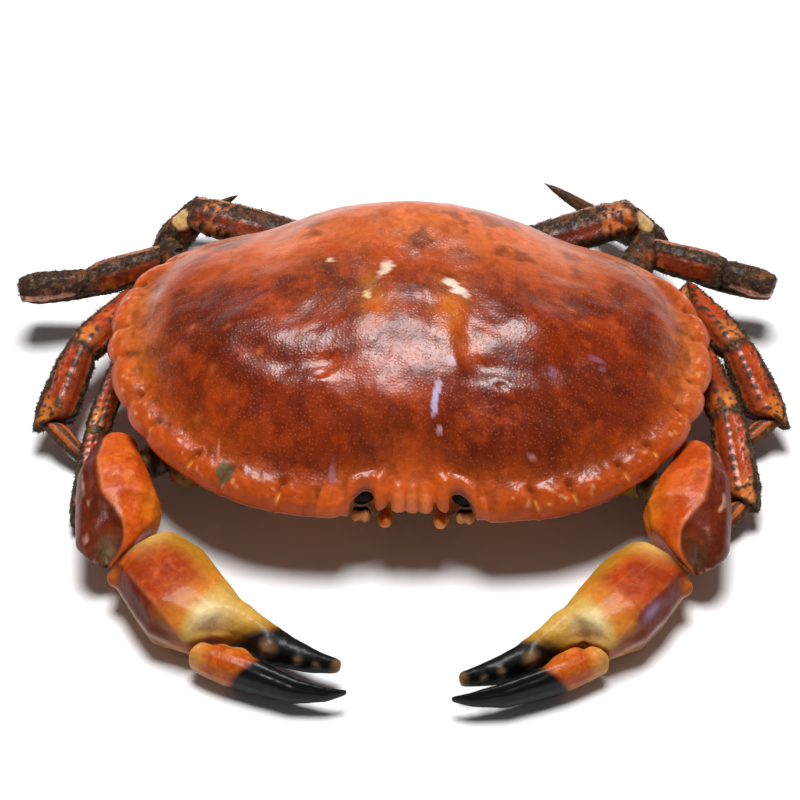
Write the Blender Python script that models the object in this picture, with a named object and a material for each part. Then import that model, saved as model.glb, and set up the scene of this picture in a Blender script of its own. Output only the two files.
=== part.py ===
"""Whole cooked edible crab, posed as served: claws folded in front, walking legs tucked in.

Millimetres are used for every named size; MM turns them into metres.
+X is the crab's long (side to side) direction, -Y is its front, +Z is up.
"L" pieces lie on the -X side and "R" pieces on the +X side.
"""
import math

import bmesh
import bpy
from mathutils import Vector

MM = 0.001
GAP = 0.3
SHARP_DEG = 50.0

# Shift of the whole crab that centres its bounding box on the origin.
SHIFT_X = 4.632
SHIFT_Y = 6.959

# Carapace: plan outline, heights and rim.
SHELL_HALF_WIDTH = 90.0
SHELL_MIDDLE_X = -1.1
SHELL_WIDEST_Y = 8.3
SHELL_FRONT_REACH = 66.4
SHELL_BACK_REACH = 49.0
SHELL_FRONT_POWERS = (2.95, 1.85)
SHELL_BACK_POWERS = (2.2, 2.7)
RIM_FRONT_Z = 25.2
RIM_SIDE_Z = 30.5
RIM_BACK_Z = 34.5
DOME_TOP_Z = 62.0
DOME_POWER = 2.16
DOME_FRONT_POWER = 0.92
DOME_SIDE_POWER = 0.97
DOME_BACK_POWER = 0.59
HUMP_HEIGHT = 6.0
HUMP_CENTRE_Y = 36.0
HUMP_HALF_WIDTH = 28.0
HUMP_HALF_LENGTH = 17.0
SHOULDER_DIP = 3.7
SHOULDER_X = 45.8
SHOULDER_HALF_WIDTH = 12.5
RIM_HOLLOW = 2.6
RIM_HOLLOW_INSET = 9.5
RIM_HOLLOW_WIDTH = 4.5
RIM_HOLLOW_END_DEG = 125.0
SHELL_LEAN = -0.017
BELLY_Z = 24.0
BELLY_SHARE = 0.60
LIP_SHARE = 0.92
LIP_THICKNESS = 3.2
RIM_LOBES = 9
RIM_LOBE_DEPTH = 1.5
LOBE_START_DEG = 21.0
LOBE_END_DEG = 112.0

# Front edge: set back between the eyes, with three teeth and one tooth inside each orbit.
FACE_MIDDLE_X = 1.6
FACE_SETBACK = 3.6
FACE_HALF_WIDTH = 26.0
ORBIT_CENTRE_X = 15.1
ORBIT_HALF_WIDTH = 3.1
ORBIT_DEPTH = 6.0
ORBIT_NOTCH_X = 7.1
FRONT_TOOTH_PITCH = 4.1
FRONT_TOOTH_DEPTH = 1.6

# Face: eyes in the orbits, short antennae beside them, mouth plates below.
EYE_CENTRE = (14.9, -49.6, 19.5)
EYE_HALF_SIZES = (2.7, 2.6, 1.9)
ANTENNA_START = (7.9, -46.6, 17.4)
ANTENNA_END = (7.9, -53.2, 19.8)
ANTENNA_WIDTHS = (1.9, 1.5)
MOUTH_PLATE_X = 7.4
MOUTH_PLATE_TOP = (-40.0, 18.5)
MOUTH_PLATE_FOOT = (-35.6, 6.5)
MOUTH_PLATE_HALF_WIDTH = 6.4
MOUTH_PLATE_HALF_THICKNESS = 1.9

# Body under the shell.
THORAX_SHARE_FRONT = 0.68
THORAX_SHARE_SIDE = 0.50
THORAX_SHARE_BACK = 0.80
THORAX_FLOOR_Z = 2.9
ABDOMEN_HALF_WIDTH = 17.0
ABDOMEN_FRONT_Y = -16.0
ABDOMEN_BACK_Y = 42.0
ABDOMEN_THICKNESS = 2.5

# Walking legs: socket, hip, knee, shin end, foot joint and claw tip of each leg.
# Half widths in LEG_SECTIONS follow the order of LEG_PIECES.
LEG_JOINTS = {
    ("2", "L"): (
        (-47, -9, 11), (-57, -5, 12), (-89, 9, 16.0),
        (-93.6, -13.0, 11.8), (-94.8, -41.5, 4.6), (-84, -55, 2.6),
    ),
    ("2", "R"): (
        (47, -9, 11), (57, -4, 12), (87, 17, 18.0),
        (93.0, -6.5, 18.5), (97.0, -32.0, 9.0), (86, -45, 3.0),
    ),
    ("3", "L"): (
        (-48, 7, 11), (-57, 12, 13), (-87, 35, 20.0),
        (-100.3, 13.0, 20.5), (-107.3, -8.2, 10.5), (-91, -23, 3.0),
    ),
    ("3", "R"): (
        (48, 7, 11), (57, 12, 13), (83, 43, 20.0),
        (97.0, 20.5, 20.5), (106.5, 0.5, 10.5), (90, -12, 3.0),
    ),
    ("4", "L"): (
        (-46, 24, 12), (-55, 32, 15), (-77, 55, 21.0),
        (-100.5, 44.0, 20.5), (-121.5, 40.0, 20.0), (-98, 46.5, 12.5),
    ),
    ("4", "R"): (
        (46, 24, 12), (54, 34, 15), (70, 62, 22.0),
        (93.5, 55.0, 20.5), (108.5, 49.2, 20.0), (86, 58, 12.5),
    ),
    ("5", "L"): (
        (-23, 50, 14), (-28, 60.5, 23), (-69, 70, 27),
        (-80, 66, 15.0), (-76, 85, 8.5), (-57.5, 87.5, 19.5),
    ),
    ("5", "R"): (
        (23, 50, 14), (28, 61, 23), (63.5, 73, 27.2),
        (75.0, 71.8, 14.4), (58, 89.5, 10.5), (38, 94.5, 21.5),
    ),
}
LEG_PIECES = ("coxa", "merus", "carpus", "propodus", "dactyl")
LEG_SECTIONS = {
    "2": (5.4, 5.2, 5.6, 6.4, 3.4),
    "3": (5.6, 5.4, 6.0, 6.6, 3.4),
    "4": (5.6, 5.2, 6.0, 5.0, 2.9),
    "5": (5.2, 5.6, 5.7, 4.4, 2.9),
}
LEG_FLATNESS = 0.86
# Girth along a piece as (share of its length, share of its half width).
LEG_PROFILE = ((0.03, 0.74), (0.14, 0.88), (0.45, 0.95), (0.72, 1.0), (0.88, 0.96), (0.97, 0.76))
DACTYL_PROFILE = ((0.04, 0.84), (0.18, 1.0), (0.55, 0.74), (0.80, 0.42), (0.95, 0.12))
LEG_GIRTH = {("2", "L"): 0.70}
# Drop of the last piece where it is folded flat under the one before it.
FOLD_DROP = {"4": (0.0, 4.5, -7.0)}

# Claws: stations along each piece, x growing away from the crab's middle, as
# (inner edge x, y, outer edge x, y, middle height, half height).
CLAW_MERUS = (
    (53, -15, 53, -29, 14.5, 6.5),
    (60, -16, 60, -33, 15.2, 7.6),
    (66, -17.5, 67, -35, 16.0, 7.2),
    (68.5, -20, 69.5, -34, 16.6, 5.6),
)
CLAW_CARPUS_L = (
    (80, -22, 90.5, -22, 17, 5.6),
    (77.5, -29.5, 92.5, -29.5, 16.8, 8.2),
    (74, -38.5, 94.5, -38.5, 18.2, 10.6),
    (70, -48, 94, -49.5, 16.2, 10.8),
    (72, -53.5, 93, -58.5, 13.8, 9.8),
    (76, -56.5, 90, -61.5, 12.5, 7),
)
CLAW_CARPUS_R = (
    (77.5, -19.5, 88, -19.5, 17, 5.6),
    (75.5, -26, 90, -26, 16.8, 8.2),
    (71.5, -35, 91.5, -35, 18.2, 10.6),
    (67, -44.5, 91.5, -46, 16.4, 10.8),
    (69, -50.5, 90.5, -55, 14.2, 9.8),
    (73.5, -53.5, 87.5, -59, 12.8, 7),
)
CLAW_PALM_L = (
    (70.5, -57.5, 84, -67, 11.4, 6),
    (65, -55, 82.5, -71.5, 12, 9.2),
    (56.5, -62, 77.5, -80.5, 12, 11),
    (50, -71.5, 71.5, -89.5, 11.6, 11),
    (44.5, -79, 60.2, -93.2, 10.8, 9.4),
    (42, -81.3, 53, -89.6, 10.8, 8.6),
    (38.5, -84.6, 46.5, -90.6, 10.6, 7.4),
    (31, -89.2, 37.5, -96.4, 9.8, 5.4),
    (23.5, -93.6, 27, -98.8, 9.2, 4),
    (16.5, -96, 18, -99.2, 8.8, 2.6),
)
CLAW_PALM_R = (
    (68.5, -56, 81, -64.5, 11.4, 6),
    (63, -54.5, 79.5, -69.5, 12, 9.2),
    (55.5, -61.5, 74.5, -78.5, 12.2, 11),
    (49.5, -70.5, 68, -87, 12, 11),
    (44, -79, 57.6, -91.8, 11.2, 9.4),
    (41, -82, 50.4, -87.4, 11, 8.6),
    (37.5, -86, 44.6, -91.4, 10.4, 7.4),
    (30.5, -91.6, 36.2, -97, 9.4, 5.4),
    (22.5, -96.4, 26.5, -101, 8.8, 4.2),
    (15.5, -99.2, 17, -102.4, 8.4, 2.8),
)
CLAW_FINGER_L = (
    (54.5, -93, 59.4, -97, 8.2, 4.4),
    (49.2, -92.8, 55.4, -99.6, 8, 5.8),
    (44, -94.4, 50, -102.2, 7.8, 6),
    (37.5, -98, 43.5, -104.4, 7.6, 5.6),
    (28, -103, 30.4, -108.4, 7.4, 4.2),
    (20, -105.2, 20.6, -108.2, 7.4, 2.4),
    (14.8, -105.2, 15, -106.4, 7.6, 1),
)
CLAW_FINGER_R = (
    (52, -90.8, 57.2, -94.8, 8.2, 4.4),
    (46.8, -91.4, 53.2, -97.4, 8, 5.6),
    (41.8, -94.8, 48, -100.4, 7.8, 5.8),
    (36.8, -98.4, 42.8, -102.8, 7.6, 5.4),
    (27, -103, 29.8, -107.8, 7.6, 4.2),
    (19, -105.6, 19.8, -108.6, 7.4, 2.4),
    (14, -106.2, 14.3, -107.4, 7.2, 1),
)
CLAW_SIDES = 12
CLAW_SQUARENESS = 2.3


def clear_scene():
    """Remove every object so that only the crab remains."""
    for item in list(bpy.data.objects):
        bpy.data.objects.remove(item, do_unlink=True)


def make_material(name, colour, roughness):
    """One plain shell material."""
    material = bpy.data.materials.new(name)
    material.use_nodes = True
    shader = material.node_tree.nodes["Principled BSDF"]
    shader.inputs["Base Color"].default_value = (*colour, 1.0)
    shader.inputs["Roughness"].default_value = roughness
    shader.inputs["Metallic"].default_value = 0.0
    material.diffuse_color = (*colour, 1.0)
    return material


def add_body(name, rings, start_tip, end_tip, material):
    """Close a stack of equal rings with a fan at each end and add it as an object."""
    shift = Vector((SHIFT_X, SHIFT_Y, 0.0))
    mesh = bmesh.new()
    rows = []
    for ring in rings:
        rows.append([mesh.verts.new((p + shift) * MM) for p in ring])
    count = len(rows[0])
    for low, high in zip(rows, rows[1:]):
        for i in range(count):
            j = (i + 1) % count
            mesh.faces.new((low[i], low[j], high[j], high[i]))
    first = mesh.verts.new((start_tip + shift) * MM)
    last = mesh.verts.new((end_tip + shift) * MM)
    for i in range(count):
        j = (i + 1) % count
        mesh.faces.new((first, rows[0][j], rows[0][i]))
        mesh.faces.new((last, rows[-1][i], rows[-1][j]))
    bmesh.ops.recalc_face_normals(mesh, faces=mesh.faces)
    data = bpy.data.meshes.new(name)
    mesh.to_mesh(data)
    mesh.free()
    data.materials.append(material)
    body = bpy.data.objects.new(name, data)
    bpy.context.collection.objects.link(body)
    data.shade_smooth()
    data.set_sharp_from_angle(angle=math.radians(SHARP_DEG))
    return body


def smoothstep(low, high, value):
    """Soft step from 0 at low to 1 at high."""
    share = min(max((value - low) / (high - low), 0.0), 1.0)
    return share * share * (3.0 - 2.0 * share)


def blend_round(front, side, back, angle):
    """Blend three values round the body; angle 0 is the front, pi is the back."""
    turn = abs(math.degrees(angle))
    if turn < 90.0:
        return front + (side - front) * smoothstep(10.0, 90.0, turn)
    return side + (back - side) * smoothstep(90.0, 165.0, turn)


def superellipse_radius(angle, half_x, half_y, power_x, power_y):
    """Distance from the centre to a superellipse along an angle from the -Y direction."""
    across = abs(math.sin(angle)) / half_x
    along = abs(math.cos(angle)) / half_y
    low, high = 0.0, 3.0 * max(half_x, half_y)
    for _ in range(48):
        middle = 0.5 * (low + high)
        if (middle * across) ** power_x + (middle * along) ** power_y < 1.0:
            low = middle
        else:
            high = middle
    return low


def shell_outline(angle):
    """Plan radius of the shell without lobes, measured from its widest line."""
    if math.cos(angle) >= 0.0:
        return superellipse_radius(angle, SHELL_HALF_WIDTH, SHELL_FRONT_REACH, *SHELL_FRONT_POWERS)
    return superellipse_radius(angle, SHELL_HALF_WIDTH, SHELL_BACK_REACH, *SHELL_BACK_POWERS)


def rim_cut(angle):
    """How far the rim is cut back by lobes, teeth and orbits."""
    turn = math.degrees(abs(angle))
    if turn >= LOBE_START_DEG:
        if turn > LOBE_END_DEG:
            return 0.0
        step = (turn - LOBE_START_DEG) / (LOBE_END_DEG - LOBE_START_DEG) * RIM_LOBES
        return RIM_LOBE_DEPTH * (1.0 - abs(math.sin(math.pi * step)) ** 0.45)
    x = abs(shell_point(angle, 1.0, 0.0).x - FACE_MIDDLE_X)
    setback = FACE_SETBACK * (1.0 - smoothstep(0.35, 1.0, x / FACE_HALF_WIDTH))
    orbit = ORBIT_DEPTH * (1.0 - smoothstep(0.55, 1.25, abs(x - ORBIT_CENTRE_X) / ORBIT_HALF_WIDTH))
    tooth = 0.0
    if x < 1.5 * FRONT_TOOTH_PITCH:
        tooth = FRONT_TOOTH_DEPTH * (1.0 - abs(math.cos(math.pi * x / FRONT_TOOTH_PITCH)) ** 0.7)
    notch = 2.4 * (1.0 - smoothstep(0.4, 1.3, abs(x - ORBIT_NOTCH_X)))
    return max(orbit, setback + max(tooth, notch))


def share_inside_cut(angle, share, margin):
    """The share itself, or less where the rim's cut comes closer than a margin."""
    return min(share, 1.0 - (rim_cut(angle) + margin) / shell_outline(angle))


def rim_height(angle):
    """Height of the shell's rim round the body, without its lean."""
    return blend_round(RIM_FRONT_Z, RIM_SIDE_Z, RIM_BACK_Z, angle)


def shell_point(angle, share, height):
    """Point at a share of the outline, measured from the middle of the widest line."""
    radius = shell_outline(angle) * share
    x = SHELL_MIDDLE_X + math.sin(angle) * radius
    return Vector((x, SHELL_WIDEST_Y - math.cos(angle) * radius, height))


def dome_height(angle, share):
    """Height of the dome at a share of the way from its middle to the rim, without its lean."""
    rise = max(1.0 - share ** DOME_POWER, 0.0)
    power = blend_round(DOME_FRONT_POWER, DOME_SIDE_POWER, DOME_BACK_POWER, angle)
    place = shell_point(angle, share, 0.0)
    hump = HUMP_HEIGHT * math.exp(-((place.x / HUMP_HALF_WIDTH) ** 2))
    hump *= math.exp(-(((place.y - HUMP_CENTRE_Y) / HUMP_HALF_LENGTH) ** 2))
    dip = SHOULDER_DIP * math.exp(-(((abs(place.x) - SHOULDER_X) / SHOULDER_HALF_WIDTH) ** 2))
    dip *= smoothstep(-5.0, 30.0, place.y) * rise ** 0.3
    inset = shell_outline(angle) * (1.0 - share)
    hollow = RIM_HOLLOW * math.exp(-(((inset - RIM_HOLLOW_INSET) / RIM_HOLLOW_WIDTH) ** 2))
    hollow *= 1.0 - smoothstep(RIM_HOLLOW_END_DEG - 25.0, RIM_HOLLOW_END_DEG, math.degrees(abs(angle)))
    dome = rim_height(angle) + (DOME_TOP_Z - rim_height(angle)) * rise ** power
    return dome + hump * rise ** 0.5 - dip - hollow


def under_height(angle, share):
    """Height of the shell's underside."""
    edge = rim_height(angle) - LIP_THICKNESS
    climb = min(max((share - BELLY_SHARE) / (LIP_SHARE - BELLY_SHARE), 0.0), 1.0)
    return BELLY_Z + (edge - BELLY_Z) * climb


def shell_angles():
    """Angles round the shell: close together at the face, four to each rim lobe."""
    half = []
    face_steps = 19
    for i in range(face_steps):
        half.append(LOBE_START_DEG * (i + 0.5) / face_steps)
    lobe_steps = RIM_LOBES * 4
    for i in range(lobe_steps + 1):
        half.append(LOBE_START_DEG + (LOBE_END_DEG - LOBE_START_DEG) * i / lobe_steps)
    back_steps = 9
    for i in range(1, back_steps + 1):
        half.append(LOBE_END_DEG + (180.0 - LOBE_END_DEG) * (i - 0.5) / back_steps)
    degrees = [-d for d in reversed(half)] + half
    return [math.radians(d) for d in degrees]


def lean(point):
    """Tip the shell sideways: its +X side sits lower."""
    return Vector((point.x, point.y, point.z + SHELL_LEAN * point.x))


def make_carapace(material):
    """The domed back shell with its pie-crust rim."""
    angles = shell_angles()
    rings = []
    for target in (0.16, 0.34, 0.52, 0.68, 0.81, 0.91):
        shares = [share_inside_cut(a, target, 1.6) for a in angles]
        rings.append([lean(shell_point(a, s, dome_height(a, s))) for a, s in zip(angles, shares)])
    for share, drop in ((0.985, 0.6), (1.0, 1.6), (0.985, 2.9)):
        ring = []
        for a in angles:
            cut = 1.0 - rim_cut(a) / shell_outline(a)
            ring.append(lean(shell_point(a, share * cut, rim_height(a) + 0.8 - drop)))
        rings.append(ring)
    shares = [share_inside_cut(a, LIP_SHARE, 1.2) for a in angles]
    rings.append([lean(shell_point(a, s, under_height(a, LIP_SHARE))) for a, s in zip(angles, shares)])
    rings.append([shell_point(a, BELLY_SHARE, under_height(a, BELLY_SHARE)) for a in angles])
    top = shell_point(0.0, 0.0, DOME_TOP_Z)
    bottom = shell_point(0.0, 0.0, BELLY_Z)
    add_body("carapace", rings, top, bottom, material)


def thorax_share(angle):
    """Share of the shell's outline taken by the body under it."""
    return blend_round(THORAX_SHARE_FRONT, THORAX_SHARE_SIDE, THORAX_SHARE_BACK, angle)


def make_thorax(material):
    """The breastplate and leg sockets under the shell."""
    count = 48
    angles = [2.0 * math.pi * (i + 0.5) / count - math.pi for i in range(count)]
    rings = []
    for near_middle in (True, False):
        ring = []
        for a in angles:
            reach = thorax_share(a) * 0.97
            if near_middle:
                reach = min(BELLY_SHARE - 0.02, thorax_share(a) * 0.9)
            ring.append(shell_point(a, reach, under_height(a, reach) - 3.0 * GAP))
        rings.append(ring)
    levels = ((1.0, 0.90), (0.97, 0.5), (0.86, 0.2))
    for reach_share, level in levels:
        ring = []
        for a in angles:
            reach = thorax_share(a) * reach_share
            top = under_height(a, reach) - 3.0 * GAP
            ring.append(shell_point(a, reach, THORAX_FLOOR_Z + (top - THORAX_FLOOR_Z) * level))
        rings.append(ring)
    rings.append([shell_point(a, thorax_share(a) * 0.72, THORAX_FLOOR_Z) for a in angles])
    top = shell_point(0.0, 0.0, BELLY_Z - 3.0 * GAP)
    bottom = shell_point(0.0, 0.0, THORAX_FLOOR_Z)
    add_body("thorax", rings, top, bottom, material)


def make_abdomen(material):
    """The tail flap folded flat under the body; its lower face is the resting face."""
    count = 32
    middle_y = 0.5 * (ABDOMEN_FRONT_Y + ABDOMEN_BACK_Y)
    half_length = 0.5 * (ABDOMEN_BACK_Y - ABDOMEN_FRONT_Y)

    def ring(share, height):
        points = []
        for i in range(count):
            a = 2.0 * math.pi * i / count
            y = middle_y + half_length * share * math.cos(a)
            x = ABDOMEN_HALF_WIDTH * share * math.sin(a)
            points.append(Vector((x, y, height)))
        return points

    rings = [ring(0.6, ABDOMEN_THICKNESS), ring(0.95, ABDOMEN_THICKNESS - 0.1)]
    rings += [ring(1.0, 0.6 * ABDOMEN_THICKNESS), ring(0.95, 0.0), ring(0.6, 0.0)]
    top = Vector((0.0, middle_y, ABDOMEN_THICKNESS))
    bottom = Vector((0.0, middle_y, 0.0))
    add_body("abdomen", rings, top, bottom, material)


def superellipse_point(turn, half_width, half_height, power):
    """Offsets across and up at a turn round a superellipse."""
    c, s = math.cos(turn), math.sin(turn)
    across = half_width * math.copysign(abs(c) ** (2.0 / power), c)
    up = half_height * math.copysign(abs(s) ** (2.0 / power), s)
    return across, up


def add_limb(name, stations, sides, power, material, end_push=0.35):
    """Loft a limb piece through stations of (centre, half width vector, half height vector)."""
    rings = []
    centres = [s[0] for s in stations]
    for centre, across, up in stations:
        ring = []
        for k in range(sides):
            x, z = superellipse_point(2.0 * math.pi * k / sides, 1.0, 1.0, power)
            ring.append(centre + across * x + up * z)
        rings.append(ring)
    start_axis = (centres[0] - centres[1]).normalized()
    end_axis = (centres[-1] - centres[-2]).normalized()
    start_tip = centres[0] + start_axis * stations[0][1].length * end_push
    end_tip = centres[-1] + end_axis * stations[-1][1].length * end_push
    return add_body(name, rings, start_tip, end_tip, material)


def leg_spans(leg, side):
    """Start and end point of each free piece of a leg."""
    joints = [Vector(p) for p in LEG_JOINTS[(leg, side)]]
    spans = [[low.copy(), high.copy()] for low, high in zip(joints, joints[1:])]
    if leg in FOLD_DROP:
        spans[-1][0] += Vector(FOLD_DROP[leg])
    return spans


def trim_to_joint(ring, axis, joint, inward, depth, reach):
    """Slide ring points along the piece so that they stay on its side of a joint plane.

    A reach of zero only pushes points back; a positive reach also draws them up to the plane.
    """
    slope = axis.dot(inward)
    trimmed = []
    for point in ring:
        slide = (depth - (point - joint).dot(inward)) / slope
        back = slide if slope > 0.0 else -slide
        if back > -reach:
            point = point + axis * slide
        elif reach > 0.0:
            point = point + axis * math.copysign(reach, slide)
        trimmed.append(point)
    return trimmed


def make_leg(leg, side, materials):
    """The pieces of one walking leg, mitred where they meet."""
    spans = leg_spans(leg, side)
    last = len(LEG_PIECES) - 1
    axes = [(end - start).normalized() for start, end in spans]
    girth = LEG_GIRTH.get((leg, side), 1.0)
    for i, piece in enumerate(LEG_PIECES):
        start, end = spans[i]
        axis = axes[i]
        length = (end - start).length
        half_width = girth * LEG_SECTIONS[leg][i]
        across = axis.cross(Vector((0.0, 0.0, 1.0))).normalized()
        up = across.cross(axis)
        profile = DACTYL_PROFILE if piece == "dactyl" else LEG_PROFILE
        rings = []
        for share, width in profile:
            offsets = [superellipse_point(2.0 * math.pi * k / 8, 1.0, LEG_FLATNESS, 2.0) for k in range(8)]
            centre = start + axis * (share * length)
            rings.append([centre + (across * x + up * z) * (width * half_width) for x, z in offsets])
        start_tip = start + axis * GAP
        end_tip = end - axis * GAP
        folded = leg in FOLD_DROP
        if i > 0 and not (folded and i == last):
            inward = (axes[i - 1] + axis).normalized()
            for k, ring in enumerate(rings[:4]):
                reach = half_width if k == 0 else 0.0
                rings[k] = trim_to_joint(ring, axis, start, inward, 0.6 * GAP + 0.12 * k, reach)
            start_tip = start + axis * (0.5 * GAP / axis.dot(inward))
        if i < last and not (folded and i == last - 1):
            inward = -(axis + axes[i + 1]).normalized()
            for k in range(4):
                reach = half_width if k == 0 else 0.0
                ring = rings[-1 - k]
                rings[-1 - k] = trim_to_joint(ring, axis, end, inward, 0.6 * GAP + 0.12 * k, reach)
            end_tip = end + axis * (0.5 * GAP / axis.dot(inward))
        add_body(f"leg{leg}_{piece}_{side}", rings, start_tip, end_tip, materials[piece])


def claw_stations(table, side):
    """Stations of a claw piece from its inner edge, outer edge, height and half height."""
    mirror = 1.0 if side == "R" else -1.0
    stations = []
    for inner_x, inner_y, outer_x, outer_y, z, half_height in table:
        inner = Vector((inner_x * mirror, inner_y, z))
        outer = Vector((outer_x * mirror, outer_y, z))
        stations.append((0.5 * (inner + outer), 0.5 * (outer - inner), Vector((0.0, 0.0, half_height))))
    return stations


def make_claw(side, shell, tip):
    """Upper arm, wrist, palm with its fixed finger and the movable finger."""
    left = side == "L"
    pieces = (
        ("claw_merus", CLAW_MERUS, shell),
        ("claw_carpus", CLAW_CARPUS_L if left else CLAW_CARPUS_R, shell),
        ("claw_palm", CLAW_PALM_L if left else CLAW_PALM_R, shell),
        ("claw_finger", CLAW_FINGER_L if left else CLAW_FINGER_R, tip),
    )
    for name, table, material in pieces:
        add_limb(f"{name}_{side}", claw_stations(table, side), CLAW_SIDES, CLAW_SQUARENESS, material)


def make_face(side, shell, dark):
    """One eye, one antenna base and one mouth plate."""
    mirror = 1.0 if side == "R" else -1.0
    x, y, z = EYE_CENTRE
    half_x, half_y, half_z = EYE_HALF_SIZES
    eye = []
    for share in (-0.85, -0.45, 0.0, 0.45, 0.85):
        width = math.sqrt(1.0 - share * share)
        centre = Vector((FACE_MIDDLE_X + x * mirror, y - share * half_y, z))
        eye.append((centre, Vector((half_x * width, 0.0, 0.0)), Vector((0.0, 0.0, half_z * width))))
    add_limb(f"eye_{side}", eye, 8, 2.0, dark, end_push=0.3)
    start, end = Vector(ANTENNA_START), Vector(ANTENNA_END)
    start.x = FACE_MIDDLE_X + start.x * mirror
    end.x = FACE_MIDDLE_X + end.x * mirror
    feeler = []
    for share in (0.0, 0.3, 0.6, 0.85, 1.0):
        width = ANTENNA_WIDTHS[0] + (ANTENNA_WIDTHS[1] - ANTENNA_WIDTHS[0]) * share
        width *= 0.6 + 0.4 * math.sin(math.pi * min(1.0, 0.3 + share * 0.7))
        feeler.append((start.lerp(end, share), Vector((width, 0.0, 0.0)), Vector((0.0, 0.0, width))))
    add_limb(f"antenna_{side}", feeler, 8, 2.0, shell)
    top_y, top_z = MOUTH_PLATE_TOP
    foot_y, foot_z = MOUTH_PLATE_FOOT
    top = Vector((FACE_MIDDLE_X + MOUTH_PLATE_X * mirror, top_y, top_z))
    foot = Vector((FACE_MIDDLE_X + MOUTH_PLATE_X * mirror, foot_y, foot_z))
    facing = (foot - top).normalized().cross(Vector((1.0, 0.0, 0.0)))
    plate = []
    for share, width in ((0.0, 0.7), (0.12, 0.92), (0.5, 1.0), (0.88, 0.85), (1.0, 0.6)):
        across = Vector((MOUTH_PLATE_HALF_WIDTH * width, 0.0, 0.0))
        plate.append((top.lerp(foot, share), across, facing * MOUTH_PLATE_HALF_THICKNESS))
    add_limb(f"maxilliped_{side}", plate, 10, 3.0, shell, end_push=0.1)


def main():
    """Build the crab."""
    clear_scene()
    shell = make_material("shell", (0.20, 0.04, 0.01), 0.35)
    claw = make_material("claw_shell", (0.45, 0.12, 0.03), 0.35)
    limb = make_material("limb_shell", (0.40, 0.09, 0.02), 0.35)
    under = make_material("under_shell", (0.75, 0.52, 0.30), 0.5)
    tip = make_material("claw_tip", (0.02, 0.015, 0.015), 0.3)
    dark = make_material("dark_shell", (0.12, 0.05, 0.02), 0.5)
    make_carapace(shell)
    make_thorax(under)
    make_abdomen(under)
    leg_materials = {piece: limb for piece in LEG_PIECES}
    leg_materials["coxa"] = under
    leg_materials["dactyl"] = dark
    for side in ("L", "R"):
        make_claw(side, claw, tip)
        make_face(side, limb, dark)
        for leg in ("2", "3", "4", "5"):
            make_leg(leg, side, leg_materials)


main()
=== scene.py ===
"""Looks of the whole cooked crab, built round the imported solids.

Working lengths are millimetres in the part's own frame; MM turns them into metres.
+X runs across the crab, -Y is its front, +Z is up. "L" pieces lie on the -X side.
"""
import math

import bmesh
import bpy
import numpy as np
from mathutils import Matrix, Vector
from mathutils.kdtree import KDTree


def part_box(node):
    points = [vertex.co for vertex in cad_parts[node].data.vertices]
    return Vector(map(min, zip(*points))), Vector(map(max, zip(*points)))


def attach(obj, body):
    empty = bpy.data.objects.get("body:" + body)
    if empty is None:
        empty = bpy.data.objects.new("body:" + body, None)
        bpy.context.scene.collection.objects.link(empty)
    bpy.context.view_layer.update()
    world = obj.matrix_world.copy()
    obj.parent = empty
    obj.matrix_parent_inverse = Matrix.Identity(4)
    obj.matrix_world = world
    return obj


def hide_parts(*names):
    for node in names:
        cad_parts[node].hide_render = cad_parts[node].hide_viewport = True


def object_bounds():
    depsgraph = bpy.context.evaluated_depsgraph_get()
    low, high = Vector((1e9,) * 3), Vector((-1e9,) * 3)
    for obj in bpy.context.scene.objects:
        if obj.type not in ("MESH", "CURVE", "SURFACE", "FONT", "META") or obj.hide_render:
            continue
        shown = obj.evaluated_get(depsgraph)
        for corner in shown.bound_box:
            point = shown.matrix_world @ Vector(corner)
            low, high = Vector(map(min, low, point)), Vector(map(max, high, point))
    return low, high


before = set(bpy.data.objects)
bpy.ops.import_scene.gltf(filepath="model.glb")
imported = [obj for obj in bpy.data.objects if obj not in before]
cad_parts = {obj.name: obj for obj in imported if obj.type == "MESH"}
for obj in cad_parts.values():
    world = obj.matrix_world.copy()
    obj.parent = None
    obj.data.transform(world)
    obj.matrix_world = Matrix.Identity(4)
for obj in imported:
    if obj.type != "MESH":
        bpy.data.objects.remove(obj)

CAD_LOW, CAD_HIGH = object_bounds()
MM = 0.001
RANDOM = np.random.default_rng(20)

# Camera.
VIEW_AZIMUTH_DEG = 2.0
VIEW_ELEVATION_DEG = 45.0
VIEW_DISTANCE_MM = 900.0
LENS_MM = 137.3
AIM_OFFSET_MM = (1.0, 1.0, -9.9)

# Studio, in metres: a round softbox overhead, a glow low down behind, and the floor.
SOFTBOX_PLACE = (0.0, 0.26, 2.6)
SOFTBOX_SIZE = 1.15
SOFTBOX_POWER = 95.0
SKY_STRENGTH = 0.09
GLOW_STRENGTH = 0.85
FLOOR_REACH = 4.0

# Spacing of the mesh that measures how near a neighbouring solid is, in millimetres.
MEETING_VOXEL = 0.8

# Back shell, in millimetres, degrees or plain exponents.
SHELL_FRONT_REACH = 66.4
SHELL_BACK_REACH = 49.0
SHELL_FRONT_POWERS = (2.95, 1.85)
SHELL_BACK_POWERS = (2.2, 2.7)
RIM_HEIGHTS = (25.2, 30.5, 34.5)
DOME_POWERS = (0.92, 0.97, 0.59)
DOME_TOP = 62.0
DOME_POWER = 2.16
HUMP_HEIGHT = 6.2
HUMP_BEHIND_WIDEST = 27.7
HUMP_HALF_WIDTH = 28.0
HUMP_HALF_LENGTH = 17.0
SHOULDER_DIP = 3.7
SHOULDER_X = 45.8
SHOULDER_HALF_WIDTH = 12.5
SHELL_LEAN = -0.017
LOBES = 9
LOBE_START_DEG = 21.0
LOBE_END_DEG = 112.0
FACE_TURN = 22.0
BELLY_Z = 24.0

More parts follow.
